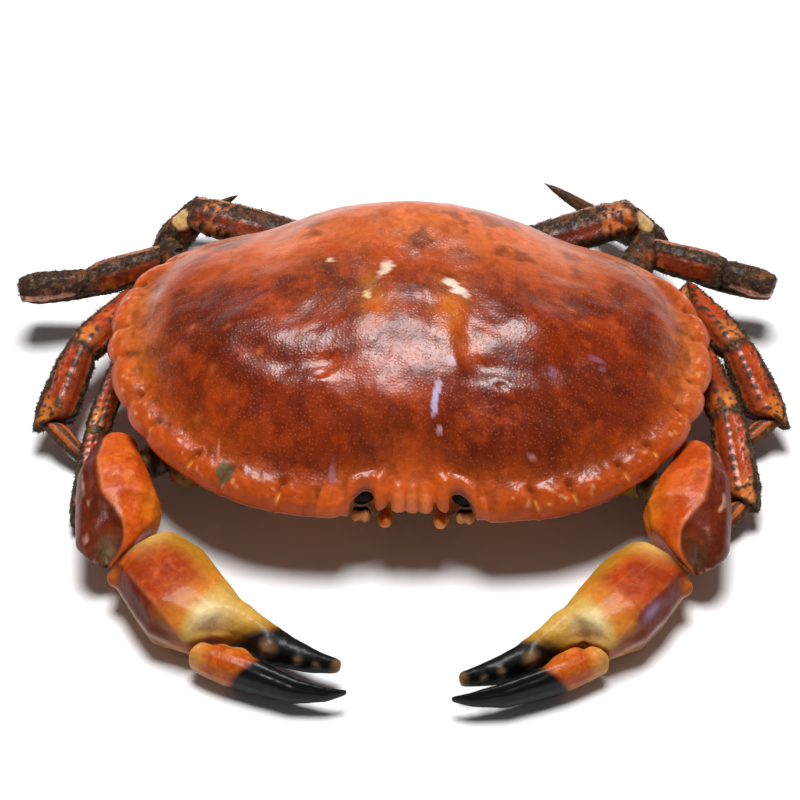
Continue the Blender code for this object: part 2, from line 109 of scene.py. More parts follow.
# Face, measured across from the line between the eyes.
FACE_OFFSET = 1.6
FACE_SETBACK = 3.6
FACE_HALF_WIDTH = 26.0
ORBIT_X = 15.1
ORBIT_HALF_WIDTH = 3.9
ORBIT_DEPTH = 4.4
ORBIT_TOOTH_X = 9.7
ORBIT_GAP_X = 7.1
TOOTH_PITCH = 4.1
TEETH_HALF_WIDTH = 1.5 * TOOTH_PITCH
SUTURE_X = 19.8
SUTURE_SLANT = 0.25

# Marks on the shell's mesh: distance of the notches' dimples from the edge in millimetres, and the
# shares outwards that stand for the lip under the edge and for the belly side.
DIMPLE_INBOARD = 5.8
LIP_SHARE = 1.02
BELLY_SHARE = 1.10

# The eyes lie a little to one side of the body's middle line.
EYE_CORNERS = [np.array(corner) / MM for eye in ("eye_L", "eye_R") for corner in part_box(eye)]
FACE_X = float(np.mean([corner[0] for corner in EYE_CORNERS]))
MIDDLE_X = FACE_X - FACE_OFFSET
BODY_MIDDLE = np.array([MIDDLE_X, 7.7])


# ---------------------------------------------------------------- numbers and noise
def clamp(value, low=0.0, high=1.0):
    """Limit values to a range."""
    return np.minimum(np.maximum(value, low), high)


def step(low, high, value):
    """Soft step from 0 at low to 1 at high."""
    share = clamp((value - low) / (high - low))
    return share * share * (3.0 - 2.0 * share)


def bell(value, width):
    """Soft bump of height 1 round zero."""
    return np.exp(-((value / width) ** 2))


def lattice(cell, seed):
    """Repeatable random number from 0 to 1 for each whole-numbered cell."""
    x, y, z = (cell[:, i].astype(np.uint64) for i in range(3))
    mixed = x * np.uint64(73856093) ^ y * np.uint64(19349663) ^ z * np.uint64(83492791)
    mixed = (mixed ^ np.uint64(seed * 7919 + 17)) & np.uint64(0xFFFFFFFF)
    mixed = ((mixed ^ (mixed >> np.uint64(15))) * np.uint64(2246822519)) & np.uint64(0xFFFFFFFF)
    mixed = ((mixed ^ (mixed >> np.uint64(13))) * np.uint64(3266489917)) & np.uint64(0xFFFFFFFF)
    mixed ^= mixed >> np.uint64(16)
    return mixed.astype(np.float64) / 4294967295.0


def noise(points, size, seed=0):
    """Smooth noise from 0 to 1 with blobs of about the given size."""
    place = points / size + 512.0
    cell = np.floor(place).astype(np.int64)
    part = place - cell
    part = part * part * (3.0 - 2.0 * part)
    total = np.zeros(len(points))
    for corner in range(8):
        offset = np.array([corner & 1, corner >> 1 & 1, corner >> 2 & 1])
        weight = np.prod(np.where(offset == 1, part, 1.0 - part), axis=1)
        total += weight * lattice(cell + offset, seed)
    return total


def fractal(points, size, octaves=3, seed=0):
    """Noise summed over finer and finer sizes, from 0 to 1."""
    total, reach = np.zeros(len(points)), 0.0
    for i in range(octaves):
        total += noise(points, size / 2**i, seed + i * 31) * 0.55**i
        reach += 0.55**i
    return total / reach


def waver(points, size, octaves, seed, amount):
    """Unevenness that swings by half the amount to either side of zero."""
    return amount * (fractal(points, size, octaves, seed) - 0.5)


def paint(red, green, blue):
    """Linear colour from screen values of 0 to 255."""
    share = np.array([red, green, blue]) / 255.0
    return np.where(share <= 0.04045, share / 12.92, ((share + 0.055) / 1.055) ** 2.4)


def mix(under, over, amount):
    """Lay one colour over another by an amount for each point; a tuple is a screen colour."""
    under, over = (paint(*tint) if isinstance(tint, tuple) else tint for tint in (under, over))
    amount = clamp(np.asarray(amount, float))[:, None]
    return under * (1.0 - amount) + over * amount


# ---------------------------------------------------------------- materials
def new_node(tree, kind, **values):
    """Add a node and set its plain properties."""
    node = tree.nodes.new(kind)
    for key, value in values.items():
        setattr(node, key, value)
    return node


def maths(tree, operation, first, second):
    """Maths node on two values or sockets."""
    node = new_node(tree, "ShaderNodeMath", operation=operation)
    for socket, value in zip(node.inputs, (first, second)):
        if hasattr(value, "default_value"):
            tree.links.new(value, socket)
        else:
            socket.default_value = value
    return node.outputs[0]


def ramp(tree, value, low, high, least=0.0, most=1.0, kind="SMOOTHSTEP"):
    """Map a socket's value from the range low to high onto the range least to most."""
    node = new_node(tree, "ShaderNodeMapRange", interpolation_type=kind)
    for socket, number in (("From Min", low), ("From Max", high), ("To Min", least), ("To Max", most)):
        node.inputs[socket].default_value = number
    tree.links.new(value, node.inputs["Value"])
    return node.outputs[0]


def shell_material(name, dot_mm, dot_colour, grain, coat, bump, shine):
    """Painted shell with pin dots, fine mottling and a granular gloss.

    The "paint" attribute holds the colour; "masks" holds dot strength, roughness and grain strength.
    """
    material = bpy.data.materials.new(name)
    material.use_nodes = True
    tree = material.node_tree
    shader = tree.nodes["Principled BSDF"]
    place = new_node(tree, "ShaderNodeTexCoord").outputs["Object"]
    colour = new_node(tree, "ShaderNodeAttribute", attribute_name="paint").outputs["Color"]
    masks = new_node(tree, "ShaderNodeAttribute", attribute_name="masks").outputs["Color"]
    split = new_node(tree, "ShaderNodeSeparateColor")
    tree.links.new(masks, split.inputs[0])
    dots_wanted, rough, grain_wanted = split.outputs

    cells = new_node(tree, "ShaderNodeTexVoronoi", feature="F1")
    cells.inputs["Scale"].default_value = 1.0 / (dot_mm * MM)
    cells.inputs["Randomness"].default_value = 0.75
    tree.links.new(place, cells.inputs["Vector"])
    dot = ramp(tree, cells.outputs["Distance"], 0.30, 0.10)
    dome = ramp(tree, cells.outputs["Distance"], 0.60, 0.0)

    mottle = new_node(tree, "ShaderNodeTexNoise")
    mottle.inputs["Scale"].default_value = 1.0 / (1.6 * MM)
    mottle.inputs["Detail"].default_value = 5.0
    mottle.inputs["Roughness"].default_value = 0.65
    tree.links.new(place, mottle.inputs["Vector"])
    swing = ramp(tree, mottle.outputs[0], 0.3, 0.7, 1.0 - grain, 1.0 + grain, "LINEAR")
    scaled = new_node(tree, "ShaderNodeVectorMath", operation="SCALE")
    tree.links.new(colour, scaled.inputs[0])
    tree.links.new(swing, scaled.inputs["Scale"])

    dotted = new_node(tree, "ShaderNodeMix", data_type="RGBA")
    tree.links.new(maths(tree, "MULTIPLY", dot, dots_wanted), dotted.inputs["Factor"])
    tree.links.new(scaled.outputs[0], dotted.inputs["A"])
    dotted.inputs["B"].default_value = (*dot_colour, 1.0)
    tree.links.new(dotted.outputs["Result"], shader.inputs["Base Color"])

    unevenness = maths(tree, "MULTIPLY", maths(tree, "SUBTRACT", mottle.outputs[0], 0.5), 0.25)
    tree.links.new(maths(tree, "ADD", rough, unevenness), shader.inputs["Roughness"])
    height = maths(tree, "MULTIPLY", dome, grain_wanted)
    height = maths(tree, "ADD", height, maths(tree, "MULTIPLY", mottle.outputs[0], 0.5))
    relief = new_node(tree, "ShaderNodeBump")
    relief.inputs["Strength"].default_value = bump
    relief.inputs["Distance"].default_value = 0.22 * MM
    tree.links.new(height, relief.inputs["Height"])
    tree.links.new(relief.outputs[0], shader.inputs["Normal"])
    shader.inputs["Coat Weight"].default_value = coat
    shader.inputs["Coat Roughness"].default_value = 0.16
    shader.inputs["Specular IOR Level"].default_value = shine
    return material


MATERIALS = {
    "shell": shell_material("shell_look", 0.95, paint(206, 96, 38), 0.18, 0.04, 0.22, 0.34),
    "claw": shell_material("claw_look", 0.8, paint(112, 30, 6), 0.14, 0.07, 0.30, 0.13),
    "leg": shell_material("leg_look", 0.9, paint(60, 30, 12), 0.26, 0.06, 0.50, 0.30),
    "under": shell_material("under_look", 1.2, paint(180, 104, 54), 0.14, 0.05, 0.35, 0.30),
    "tip": shell_material("tip_look", 0.9, paint(34, 30, 29), 0.20, 0.05, 0.25, 0.30),
    "bristle": shell_material("bristle_look", 1.0, paint(60, 44, 26), 0.25, 0.0, 0.20, 0.08),
}


# ---------------------------------------------------------------- meshes
def cad_points(node):
    """Vertices of a solid, in millimetres."""
    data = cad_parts[node].data
    points = np.zeros(len(data.vertices) * 3)
    data.vertices.foreach_get("co", points)
    return points.reshape(-1, 3) / MM


def fine_copy(node, voxel, smoothing, blobs=()):
    """Evenly meshed, softened copy of a solid with round blobs joined to it: its points and faces."""
    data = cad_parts[node].data.copy()
    welded = bmesh.new()
    welded.from_mesh(data)
    bmesh.ops.remove_doubles(welded, verts=welded.verts, dist=0.002 * MM)
    for centre, radius in blobs:
        place = Matrix.Translation(Vector(centre) * MM)
        bmesh.ops.create_icosphere(welded, subdivisions=3, radius=radius * MM, matrix=place)
    welded.to_mesh(data)
    welded.free()
    data.materials.clear()
    body = bpy.data.objects.new("fine", data)
    bpy.context.scene.collection.objects.link(body)
    remesh = body.modifiers.new("remesh", "REMESH")
    remesh.mode = "VOXEL"
    remesh.voxel_size = voxel * MM
    smooth = body.modifiers.new("smooth", "SMOOTH")
    smooth.factor = 0.5
    smooth.iterations = smoothing
    graph = bpy.context.evaluated_depsgraph_get()
    result = bpy.data.meshes.new_from_object(body.evaluated_get(graph))
    points = np.zeros(len(result.vertices) * 3)
    result.vertices.foreach_get("co", points)
    faces = np.zeros(len(result.polygons) * 4, dtype=np.int64)
    result.polygons.foreach_get("vertices", faces)
    bpy.data.objects.remove(body, do_unlink=True)
    bpy.data.meshes.remove(data)
    bpy.data.meshes.remove(result)
    return points.reshape(-1, 3) / MM, faces.reshape(-1, 4).tolist()


def distance_to(points, node):
    """Distance from each point to the surface of another solid, in millimetres."""
    surface = fine_copy(node, MEETING_VOXEL, 1)[0]
    tree = KDTree(len(surface))
    for i, spot in enumerate(surface):
        tree.insert(spot, i)
    tree.balance()
    return np.array([tree.find(spot)[2] for spot in points])


def meet(points, *nodes):
    """How far each point swells towards neighbouring solids, and how much painted shade it gets beside them.
    """
    swell, dark = np.zeros(len(points)), np.zeros(len(points))
    for node in nodes:
        gap = distance_to(points, node)
        swell = np.maximum(swell, clamp(0.5 * (gap - 0.5), 0.0, 1.1) * step(4.2, 2.4, gap))
        # Painted shade: points close to a neighbouring solid are marked for darkening.
        dark = np.maximum(dark, step(1.9, 1.0, gap))
    return swell, dark


def ball(subdivisions):
    """Points and faces of a round ball of radius 1."""
    body = bmesh.new()
    bmesh.ops.create_icosphere(body, subdivisions=subdivisions, radius=1.0)
    points = np.array([v.co[:] for v in body.verts])
    faces = [[v.index for v in f.verts] for f in body.faces]
    body.free()
    return points, faces


def point_normals(points, faces):
    """Outward direction at each point of a mesh of four-sided faces."""
    faces = np.array(faces)
    across = points[faces[:, 2]] - points[faces[:, 0]]
    along = points[faces[:, 3]] - points[faces[:, 1]]
    flat = np.cross(across, along)
    total = np.zeros_like(points)
    for corner in range(4):
        np.add.at(total, faces[:, corner], flat)
    return total / np.maximum(np.linalg.norm(total, axis=1), 1e-12)[:, None]


def add_piece(name, points, faces, colour, masks, look, slot, *nodes):
    """Make a shown piece from points in millimetres, its paint and its masks.

    The masks are dots, roughness and grain, each one number or a number for each point.
    """
    data = bpy.data.meshes.new(name)
    data.from_pydata((points * MM).tolist(), [], faces)
    for layer, values in (("paint", colour.T), ("masks", masks)):
        attribute = data.color_attributes.new(layer, "FLOAT_COLOR", "POINT")
        full = np.ones((len(points), 4), np.float32)
        for channel, value in enumerate(values):
            full[:, channel] = value
        attribute.data.foreach_set("color", full.ravel())
    data.materials.append(MATERIALS[look])
    data.shade_smooth()
    data.update()
    piece = bpy.data.objects.new(name, data)
    bpy.context.scene.collection.objects.link(piece)
    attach(piece, "root")
    if nodes:
        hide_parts(*nodes)
    return piece


class Local:
    """Coordinates along and round one limb piece.

    t runs from 0 at the near end to 1 at the far end. out and high run from -1 to 1 across each
    slice, out growing away from the crab's middle. angle is 0 outward and 90 degrees on top.
    """

    def __init__(self, points, near, slices=24):
        middle = points.mean(0)
        axis = np.linalg.svd(points - middle, full_matrices=False)[2][0]
        if axis @ (middle - near) < 0.0:
            axis = -axis
        side = np.array([axis[1], -axis[0], 0.0])
        side /= np.linalg.norm(side)
        if side[:2] @ (middle[:2] - BODY_MIDDLE) < 0.0:
            side = -side
        rise = np.cross(axis, side)
        if rise[2] < 0.0:
            rise = -rise
        along, lateral, upward = points @ axis, points @ side, points @ rise
        self.axis, self.side, self.rise = axis, side, rise
        self.length = np.ptp(along)
        self.t = (along - along.min()) / self.length
        centre = np.zeros((slices, 2))
        half = np.zeros((slices, 2))
        edges = np.linspace(0.0, 1.0, slices + 1)
        for i in range(slices):
            inside = (self.t >= edges[i] - 0.5 / slices) & (self.t <= edges[i + 1] + 0.5 / slices)
            for j, values in enumerate((lateral[inside], upward[inside])):
                centre[i, j] = 0.5 * (values.min() + values.max())
                half[i, j] = 0.5 * np.ptp(values)
        spots = 0.5 * (edges[1:] + edges[:-1])
        self.half_side = np.interp(self.t, spots, half[:, 0])
        self.out = (lateral - np.interp(self.t, spots, centre[:, 0])) / self.half_side
        self.high = (upward - np.interp(self.t, spots, centre[:, 1])) / np.interp(self.t, spots, half[:, 1])
        self.angle = np.degrees(np.arctan2(self.high, self.out))
        self.mm = self.t * self.length

    def turned(self, angle):
        """Signed turn of each point from an angle round the piece, in degrees."""
        return (self.angle - angle + 180.0) % 360.0 - 180.0

    def near_angle(self, angle, width):
        """1 on a line along the piece at an angle, falling off over a width in degrees."""
        return bell(self.turned(angle), width)

    def inner(self):
        """0 on the piece's lower outer side, 1 on its upper inner side."""
        return 0.5 * (1.0 - np.cos(np.radians(self.angle + 45.0)))


def limb(node, voxel, smoothing, near, blobs=(), slices=24):
    """Fine copy of a limb piece: its points, faces, outward directions and place along the limb."""
    points, faces = fine_copy(node, voxel, smoothing, blobs)
    return points, faces, point_normals(points, faces), Local(points, near, slices)


# ---------------------------------------------------------------- back shell
def blend_round(values, turn):
    """Blend front, side and back values; turn is 0 at the front and 180 at the back."""
    front, side, back = values
    fore = front + (side - front) * step(10.0, 90.0, turn)
    aft = side + (back - side) * step(90.0, 165.0, turn)
    return np.where(turn < 90.0, fore, aft)


def oval_radius(angle, half_x, half_y, powers):
    """Distance to a superellipse along angles from the -Y direction."""
    across, along = np.abs(np.sin(angle)) / half_x, np.abs(np.cos(angle)) / half_y
    low, high = np.zeros_like(angle), np.full_like(angle, 3.0 * half_x)
    for _ in range(40):
        middle = 0.5 * (low + high)
        inside = (middle * across) ** powers[0] + (middle * along) ** powers[1] < 1.0
        low, high = np.where(inside, middle, low), np.where(inside, high, middle)
    return low


# Colours on the shell: share across, share along, half sizes in mm, screen colour, strength.
DARK, DEEP, BROWN = (84, 24, 6), (104, 30, 4), (104, 46, 22)
AMBER, ORANGE, PEACH = (200, 104, 22), (196, 84, 28), (214, 110, 58)
SHELL_BLOTCHES = (
    (-0.62, 0.15, 16, 22, DEEP, 0.55),
    (-0.60, -0.15, 16, 16, DARK, 0.60),
    (-0.47, -0.38, 18, 9, DARK, 0.50),
    (-0.48, -0.62, 16, 8, DEEP, 0.45),
    (-0.13, -0.68, 9, 8, DARK, 0.65),
    (0.22, -0.64, 9, 9, DARK, 0.55),
    (0.46, -0.62, 18, 10, DARK, 0.75),
    (0.66, -0.38, 14, 14, DEEP, 0.55),
    (0.45, -0.36, 14, 10, DARK, 0.40),
    (0.70, 0.05, 16, 20, DEEP, 0.50),
    (0.81, 0.05, 4, 6, DARK, 0.55),
    (0.52, 0.22, 10, 12, BROWN, 0.35),
    (-0.34, -0.78, 7, 5, DARK, 0.60),
    (-0.28, 0.00, 13, 11, BROWN, 0.75),
    (-0.22, 0.10, 8, 9, (82, 36, 20), 0.60),
    (-0.28, 0.16, 4.2, 3.0, (58, 30, 24), 0.80),
    (-0.205, 0.22, 4.0, 3.4, (60, 32, 26), 0.70),
    (0.30, 0.04, 16, 10, (112, 48, 28), 0.60),
    (0.42, 0.04, 4.5, 4.5, (78, 36, 24), 0.60),
    (0.00, 0.02, 5.5, 8, (84, 38, 20), 0.65),
    (0.01, 0.30, 2.6, 7, (84, 44, 28), 0.60),
    (0.12, 0.38, 5, 4, (112, 66, 50), 0.45),
    (-0.11, 0.51, 5, 2.6, (108, 84, 74), 0.60),
    (0.18, 0.27, 2.8, 2.2, (88, 66, 58), 0.60),
    (0.61, 0.60, 3.5, 7, (96, 56, 34), 0.50),
    (-0.10, -0.10, 4.5, 5, AMBER, 0.75),
    (0.13, -0.10, 4.8, 10, AMBER, 0.85),
    (-0.13, 0.04, 2.5, 6, (176, 112, 44), 0.55),
    (0.00, -0.78, 9, 9, ORANGE, 0.55),
    (0.20, -0.33, 4, 3.4, (206, 92, 34), 0.55),
    (-0.45, 0.42, 20, 11, PEACH, 0.55),
    (0.36, 0.42, 20, 12, PEACH, 0.60),
    (0.00, 0.62, 30, 12, PEACH, 0.50),
    (-0.88, -0.05, 7, 26, (186, 96, 30), 0.60),
    (-0.90, 0.30, 7, 14, (190, 104, 40), 0.50),
    (0.93, 0.00, 6, 26, (200, 112, 48), 0.60),
    (0.00, -0.93, 26, 4, (206, 100, 44), 0.50),
    (-0.895, -0.05, 1.8, 1.2, (78, 46, 20), 0.80),
    (0.885, 0.24, 2.2, 1.4, (96, 54, 20), 0.70),
    (-0.84, 0.31, 1.6, 3.2, (150, 122, 122), 0.55),
    (-0.78, -0.50, 1.5, 1.5, (150, 120, 90), 0.75),
    (-0.86, -0.60, 1.3, 1.3, (66, 44, 26), 0.65),
)
SHELL_FLAKES = (
    (-0.079, 0.130, 1.7, 2.9, (206, 186, 160), 0.95),
    (-0.135, -0.030, 1.0, 1.6, (214, 182, 130), 0.85),
    (0.130, 0.060, 1.9, 1.8, (212, 196, 176), 0.95),
    (0.155, 0.022, 2.1, 1.5, (214, 198, 180), 0.95),
    (0.180, -0.012, 1.2, 1.2, (206, 184, 160), 0.85),
    (-0.565, -0.800, 2.6, 2.6, (86, 78, 44), 0.90),
    (0.093, -0.575, 1.0, 3.2, (178, 168, 206), 0.90),
    (0.103, -0.52, 0.8, 1.6, (196, 176, 196), 0.70),
    (0.140, -0.39, 1.4, 1.7, (196, 172, 188), 0.75),
    (0.46, -0.37, 1.3, 1.9, (120, 66, 98), 0.75),
    (0.60, -0.235, 2.1, 0.9, (124, 72, 104), 0.70),
    (0.62, -0.27, 0.8, 1.6, (124, 72, 104), 0.60),
    (0.11, -0.68, 0.8, 0.9, (196, 150, 160), 0.60),
    (-0.26, 0.215, 0.9, 1.0, (226, 190, 160), 0.80),
    (0.40, -0.727, 1.3, 0.6, (196, 132, 120), 0.60),
    (-0.225, -0.83, 1.2, 2.2, (140, 92, 104), 0.50),
    (-0.59, -0.69, 0.35, 2.4, (206, 130, 110), 0.55),
)
PALE_SPOTS = (
    (-0.70, -0.08), (-0.58, -0.18), (-0.47, -0.33), (-0.62, -0.36), (0.64, -0.33), (0.52, 0.02),
    (0.57, -0.04), (0.71, 0.20), (0.66, 0.02), (-0.66, -0.54), (-0.58, 0.30), (0.79, -0.18),
)
# Swellings of the back: share across, share along, half sizes as shares, height in mm.
SWELLINGS = (
    (-0.54, -0.21, 0.17, 0.20, 3.4), (0.42, -0.17, 0.13, 0.18, 3.0), (-0.14, -0.24, 0.08, 0.13, 1.2),
    (-0.02, -0.58, 0.14, 0.15, 1.2), (0.00, -0.20, 0.10, 0.12, 0.8), (0.14, -0.25, 0.05, 0.10, 0.6),
    (0.00, 0.02, 0.16, 0.12, 0.8), (0.13, -0.42, 0.05, 0.09, 0.5), (-0.64, -0.16, 0.12, 0.28, 0.6),
    (0.66, -0.14, 0.12, 0.28, 0.6), (0.36, -0.50, 0.10, 0.09, 0.8), (-0.28, -0.52, 0.12, 0.08, 0.9),
)
FURROWS = (
    (0.19, -0.24, 0.035, 0.14, 0.7), (-0.22, -0.42, 0.05, 0.07, 0.8), (0.22, -0.42, 0.045, 0.07, 0.6),
    (-0.15, 0.10, 0.035, 0.12, 0.6), (0.15, 0.12, 0.04, 0.12, 0.6), (-0.27, -0.465, 0.022, 0.012, 0.8),
    (0.30, -0.485, 0.022, 0.014, 0.8),
)


def shell_relief(u, v, share):
    """Swellings, furrows and curved folds of the back, in millimetres."""
    height = np.zeros_like(u)
    for x, y, wide, long, amount in SWELLINGS:
        height += amount * bell(u - x, wide) * bell(v - y, long)
    for x, y, wide, long, amount in FURROWS:
        height -= amount * bell(u - x, wide) * bell(v - y, long)
    across, along = (np.abs(u) - 0.34) / 0.235, (v + 0.20) / 0.27
    ring = np.hypot(across, along)
    fold_zone = step(0.25, -0.5, along) * step(-0.5, 0.2, across + 0.6 * (along < -0.6))
    height += fold_zone * (0.45 * bell(ring - 1.08, 0.20) - 0.6 * bell(ring - 0.78, 0.20))
    lumps = 0.9 * (fractal(np.stack([u * 9.0, v * 7.0, 0.0 * u], 1), 1.0, 2, 50) - 0.5)
    return (height + lumps) * (1.0 - step(0.82, 0.95, share))


def shell_angles():
    """Angles round the shell, closest at the face and close along the lobes."""
    past_lobes = LOBE_END_DEG + 2.0
    half = np.concatenate([
        np.arange(0.13, FACE_TURN, 0.26),
        np.arange(FACE_TURN, past_lobes, 0.40),
        np.arange(past_lobes, 180.0, 1.0),
    ])
    return np.radians(np.concatenate([-half[::-1], half]))


class Rim:
    """The shell's edge at angles round it: its outline, its lobes and the cuts between the eyes."""

    def __init__(self, half_x, middle_x):
        self.angle = shell_angles()
        self.turn = np.degrees(np.abs(self.angle))
        self.across, self.along = np.sin(self.angle), -np.cos(self.angle)
        self.outline = np.where(
            np.cos(self.angle) >= 0.0,
            oval_radius(self.angle, half_x, SHELL_FRONT_REACH, SHELL_FRONT_POWERS),
            oval_radius(self.angle, half_x, SHELL_BACK_REACH, SHELL_BACK_POWERS),
        )
        self.shift = middle_x - MIDDLE_X
        self.from_face = np.abs(self.across * self.outline + middle_x - FACE_X)
        self.in_face = (self.turn < LOBE_START_DEG) * 1.0
        self.between = 1.0 - np.abs(np.cos(math.pi * self.from_face / TOOTH_PITCH)) ** 0.6
        scallop = self.shape_lobes()
        self.cut = np.where(self.in_face > 0.0, self.face_cuts(), scallop)
        self.setback = FACE_SETBACK * (1.0 - step(0.35, 1.0, self.from_face / FACE_HALF_WIDTH))
        self.setback += 1.4 * bell(self.from_face - 25.0, 11.0)
        self.setback *= step(70.0, 45.0, self.turn)
        self.rim_z = blend_round(RIM_HEIGHTS, self.turn) + 0.3 * self.setback

    def shape_lobes(self):
        """Place the puffed lobes and the notches between them; return how deep the notches cut."""
        self.in_lobes = step(LOBE_START_DEG + 3.0, LOBE_START_DEG + 8.0, self.turn)
        self.in_lobes *= 1.0 - step(LOBE_END_DEG - 3.0, LOBE_END_DEG + 6.0, self.turn)
        span = LOBE_END_DEG - LOBE_START_DEG
        phase = (self.turn - LOBE_START_DEG) / span * LOBES
        phase = phase + 0.10 * np.sin(self.turn * 0.31 + 1.7 * np.sign(self.angle))
        self.from_notch = np.abs(phase - np.round(phase)) * (self.outline * math.radians(span / LOBES))
        self.puff = np.abs(np.sin(math.pi * phase)) ** 0.8 * self.in_lobes
        boldness = 0.30 + 0.75 * step(48.0, 80.0, self.turn)
        return (0.6 * bell(self.from_notch, 0.42) + 1.5 * (1.0 - self.puff)) * self.in_lobes * boldness

    def face_cuts(self):
        """Depth of the eye hollows, the gaps beside them and the gaps between the front teeth."""
        from_face = self.from_face
        arch = ORBIT_DEPTH * np.sqrt(clamp(1.0 - ((from_face - ORBIT_X) / ORBIT_HALF_WIDTH) ** 2))
        gap = 2.2 * (1.0 - step(0.2, 1.3, np.abs(from_face - ORBIT_GAP_X)))
        from_tooth = np.abs(from_face - ORBIT_TOOTH_X)
        beside = 0.35 * np.minimum(from_tooth**2, 6.0) * (from_tooth < 2.6)
        teeth = 1.0 * self.between * (from_face < TEETH_HALF_WIDTH)
        return np.maximum(np.maximum(arch, gap), np.maximum(teeth, beside))

    def dome_ring(self, share):
        """Radius and height of the shell's upper side at a share of the way out to its edge."""
        moved = self.cut * step(0.78, 1.0, share)
        radius = self.outline * share - self.setback * step(0.6, 1.0, share) - moved
        spot = share - moved / self.outline
        inboard = self.outline * (1.0 - spot)
        x, y = self.across * radius + self.shift, self.along * radius
        rise = np.maximum(1.0 - spot**DOME_POWER, 0.0)
        hump = HUMP_HEIGHT * bell(x, HUMP_HALF_WIDTH) * bell(y - HUMP_BEHIND_WIDEST, HUMP_HALF_LENGTH)
        shoulder = SHOULDER_DIP * bell(np.abs(x) - SHOULDER_X, SHOULDER_HALF_WIDTH) * step(-13.0, 22.0, y)
        z = self.rim_z + (DOME_TOP - self.rim_z) * rise ** blend_round(DOME_POWERS, self.turn)
        z += hump * rise**0.5 - shoulder * rise**0.3
        z -= 2.2 * bell(inboard - 10.0, 5.0) * (1.0 - step(100.0, 125.0, self.turn))
        z = self.lobe_relief(z, inboard)
        z = self.face_relief(z, inboard)
        edge = self.outline * (1.0 - share) + (self.cut - moved)
        return radius, z - 1.3 * step(1.9, 0.0, edge) ** 2

    def lobe_relief(self, z, inboard):
        """Puff up the lobes and sink the notches and the dimples at their ends."""
        from_notch = self.from_notch
        swell = 1.05 * self.puff * bell(inboard - 3.8, 3.2)
        z = z + self.in_lobes * (swell - 0.10 * bell(inboard - 7.4, 1.6))
        notch = 1.1 * bell(from_notch, 0.45) * step(5.6, 3.8, inboard)
        z -= self.in_lobes * (notch + 0.6 * bell(from_notch, 1.6) * step(7.5, 4.0, inboard))
        return z - self.in_lobes * 0.9 * np.exp(-(from_notch**2 + (inboard - DIMPLE_INBOARD) ** 2) / 0.8)

    def face_relief(self, z, inboard):
        """Raise the ribs of the front teeth and the rims of the eye hollows, and sink the sutures."""
        from_face = self.from_face
        ribs = (from_face < TEETH_HALF_WIDTH) * (0.75 - self.between)
        z = z + self.in_face * ribs * 1.3 * step(7.0, 2.0, inboard)
        ring = np.hypot((from_face - ORBIT_X) / ORBIT_HALF_WIDTH, inboard / ORBIT_DEPTH)
        inner_side = 0.6 + 0.4 * step(ORBIT_X, ORBIT_TOOTH_X, from_face)
        z += self.in_face * 1.5 * bell(ring - 1.45, 0.42) * inner_side
        z += 1.1 * bell(np.hypot(from_face - ORBIT_TOOTH_X, (inboard - 6.0) * 0.7), 2.4)
        return z - 0.5 * suture_line(from_face, inboard)

    def rings(self):
        """Rings from the top over the edge to the belly side: radius, height and share outwards."""
        result = []
        for share in np.concatenate([np.linspace(0.012, 0.84, 56), np.linspace(0.848, 1.0, 38)]):
            result.append((*self.dome_ring(share), share))
        brink = result[-1][1]
        for inset, drop in ((0.12, 0.5), (0.45, 1.0), (1.1, 1.4), (2.4, 1.7)):
            result.append((self.outline - self.setback - self.cut - inset, brink - drop, LIP_SHARE))
        lip = result[-1][1]
        for share, fall in ((0.93, 0.06), (0.90, 0.20), (0.85, 0.40), (0.76, 0.7), (0.60, 1.0), (0.30, 1.0)):
            held_back = (self.setback + self.cut) * step(0.5, 0.93, share)
            result.append((self.outline * share - held_back, lip + (BELLY_Z - lip) * fall, BELLY_SHARE))
        return result


def suture_line(from_face, inboard):
    """1 along the slanting seam outside each eye hollow."""
    return bell(from_face - SUTURE_X - SUTURE_SLANT * inboard, 0.8) * bell(inboard - 4.0, 3.4)


def polar_faces(rings, count):
    """Faces of rings of points from a top point, the last but one, to a bottom point, the last."""
    faces = []
    near = np.arange(count)
    after = (near + 1) % count
    for i in range(rings - 1):
        a, b = near + i * count, after + i * count
        faces += np.stack([a, a + count, b + count, b], 1).tolist()
    last, top = (rings - 1) * count, rings * count
    for k, j in zip(near.tolist(), after.tolist()):
        faces.append([top, k, j])
        faces.append([top + 1, last + j, last + k])
    return faces


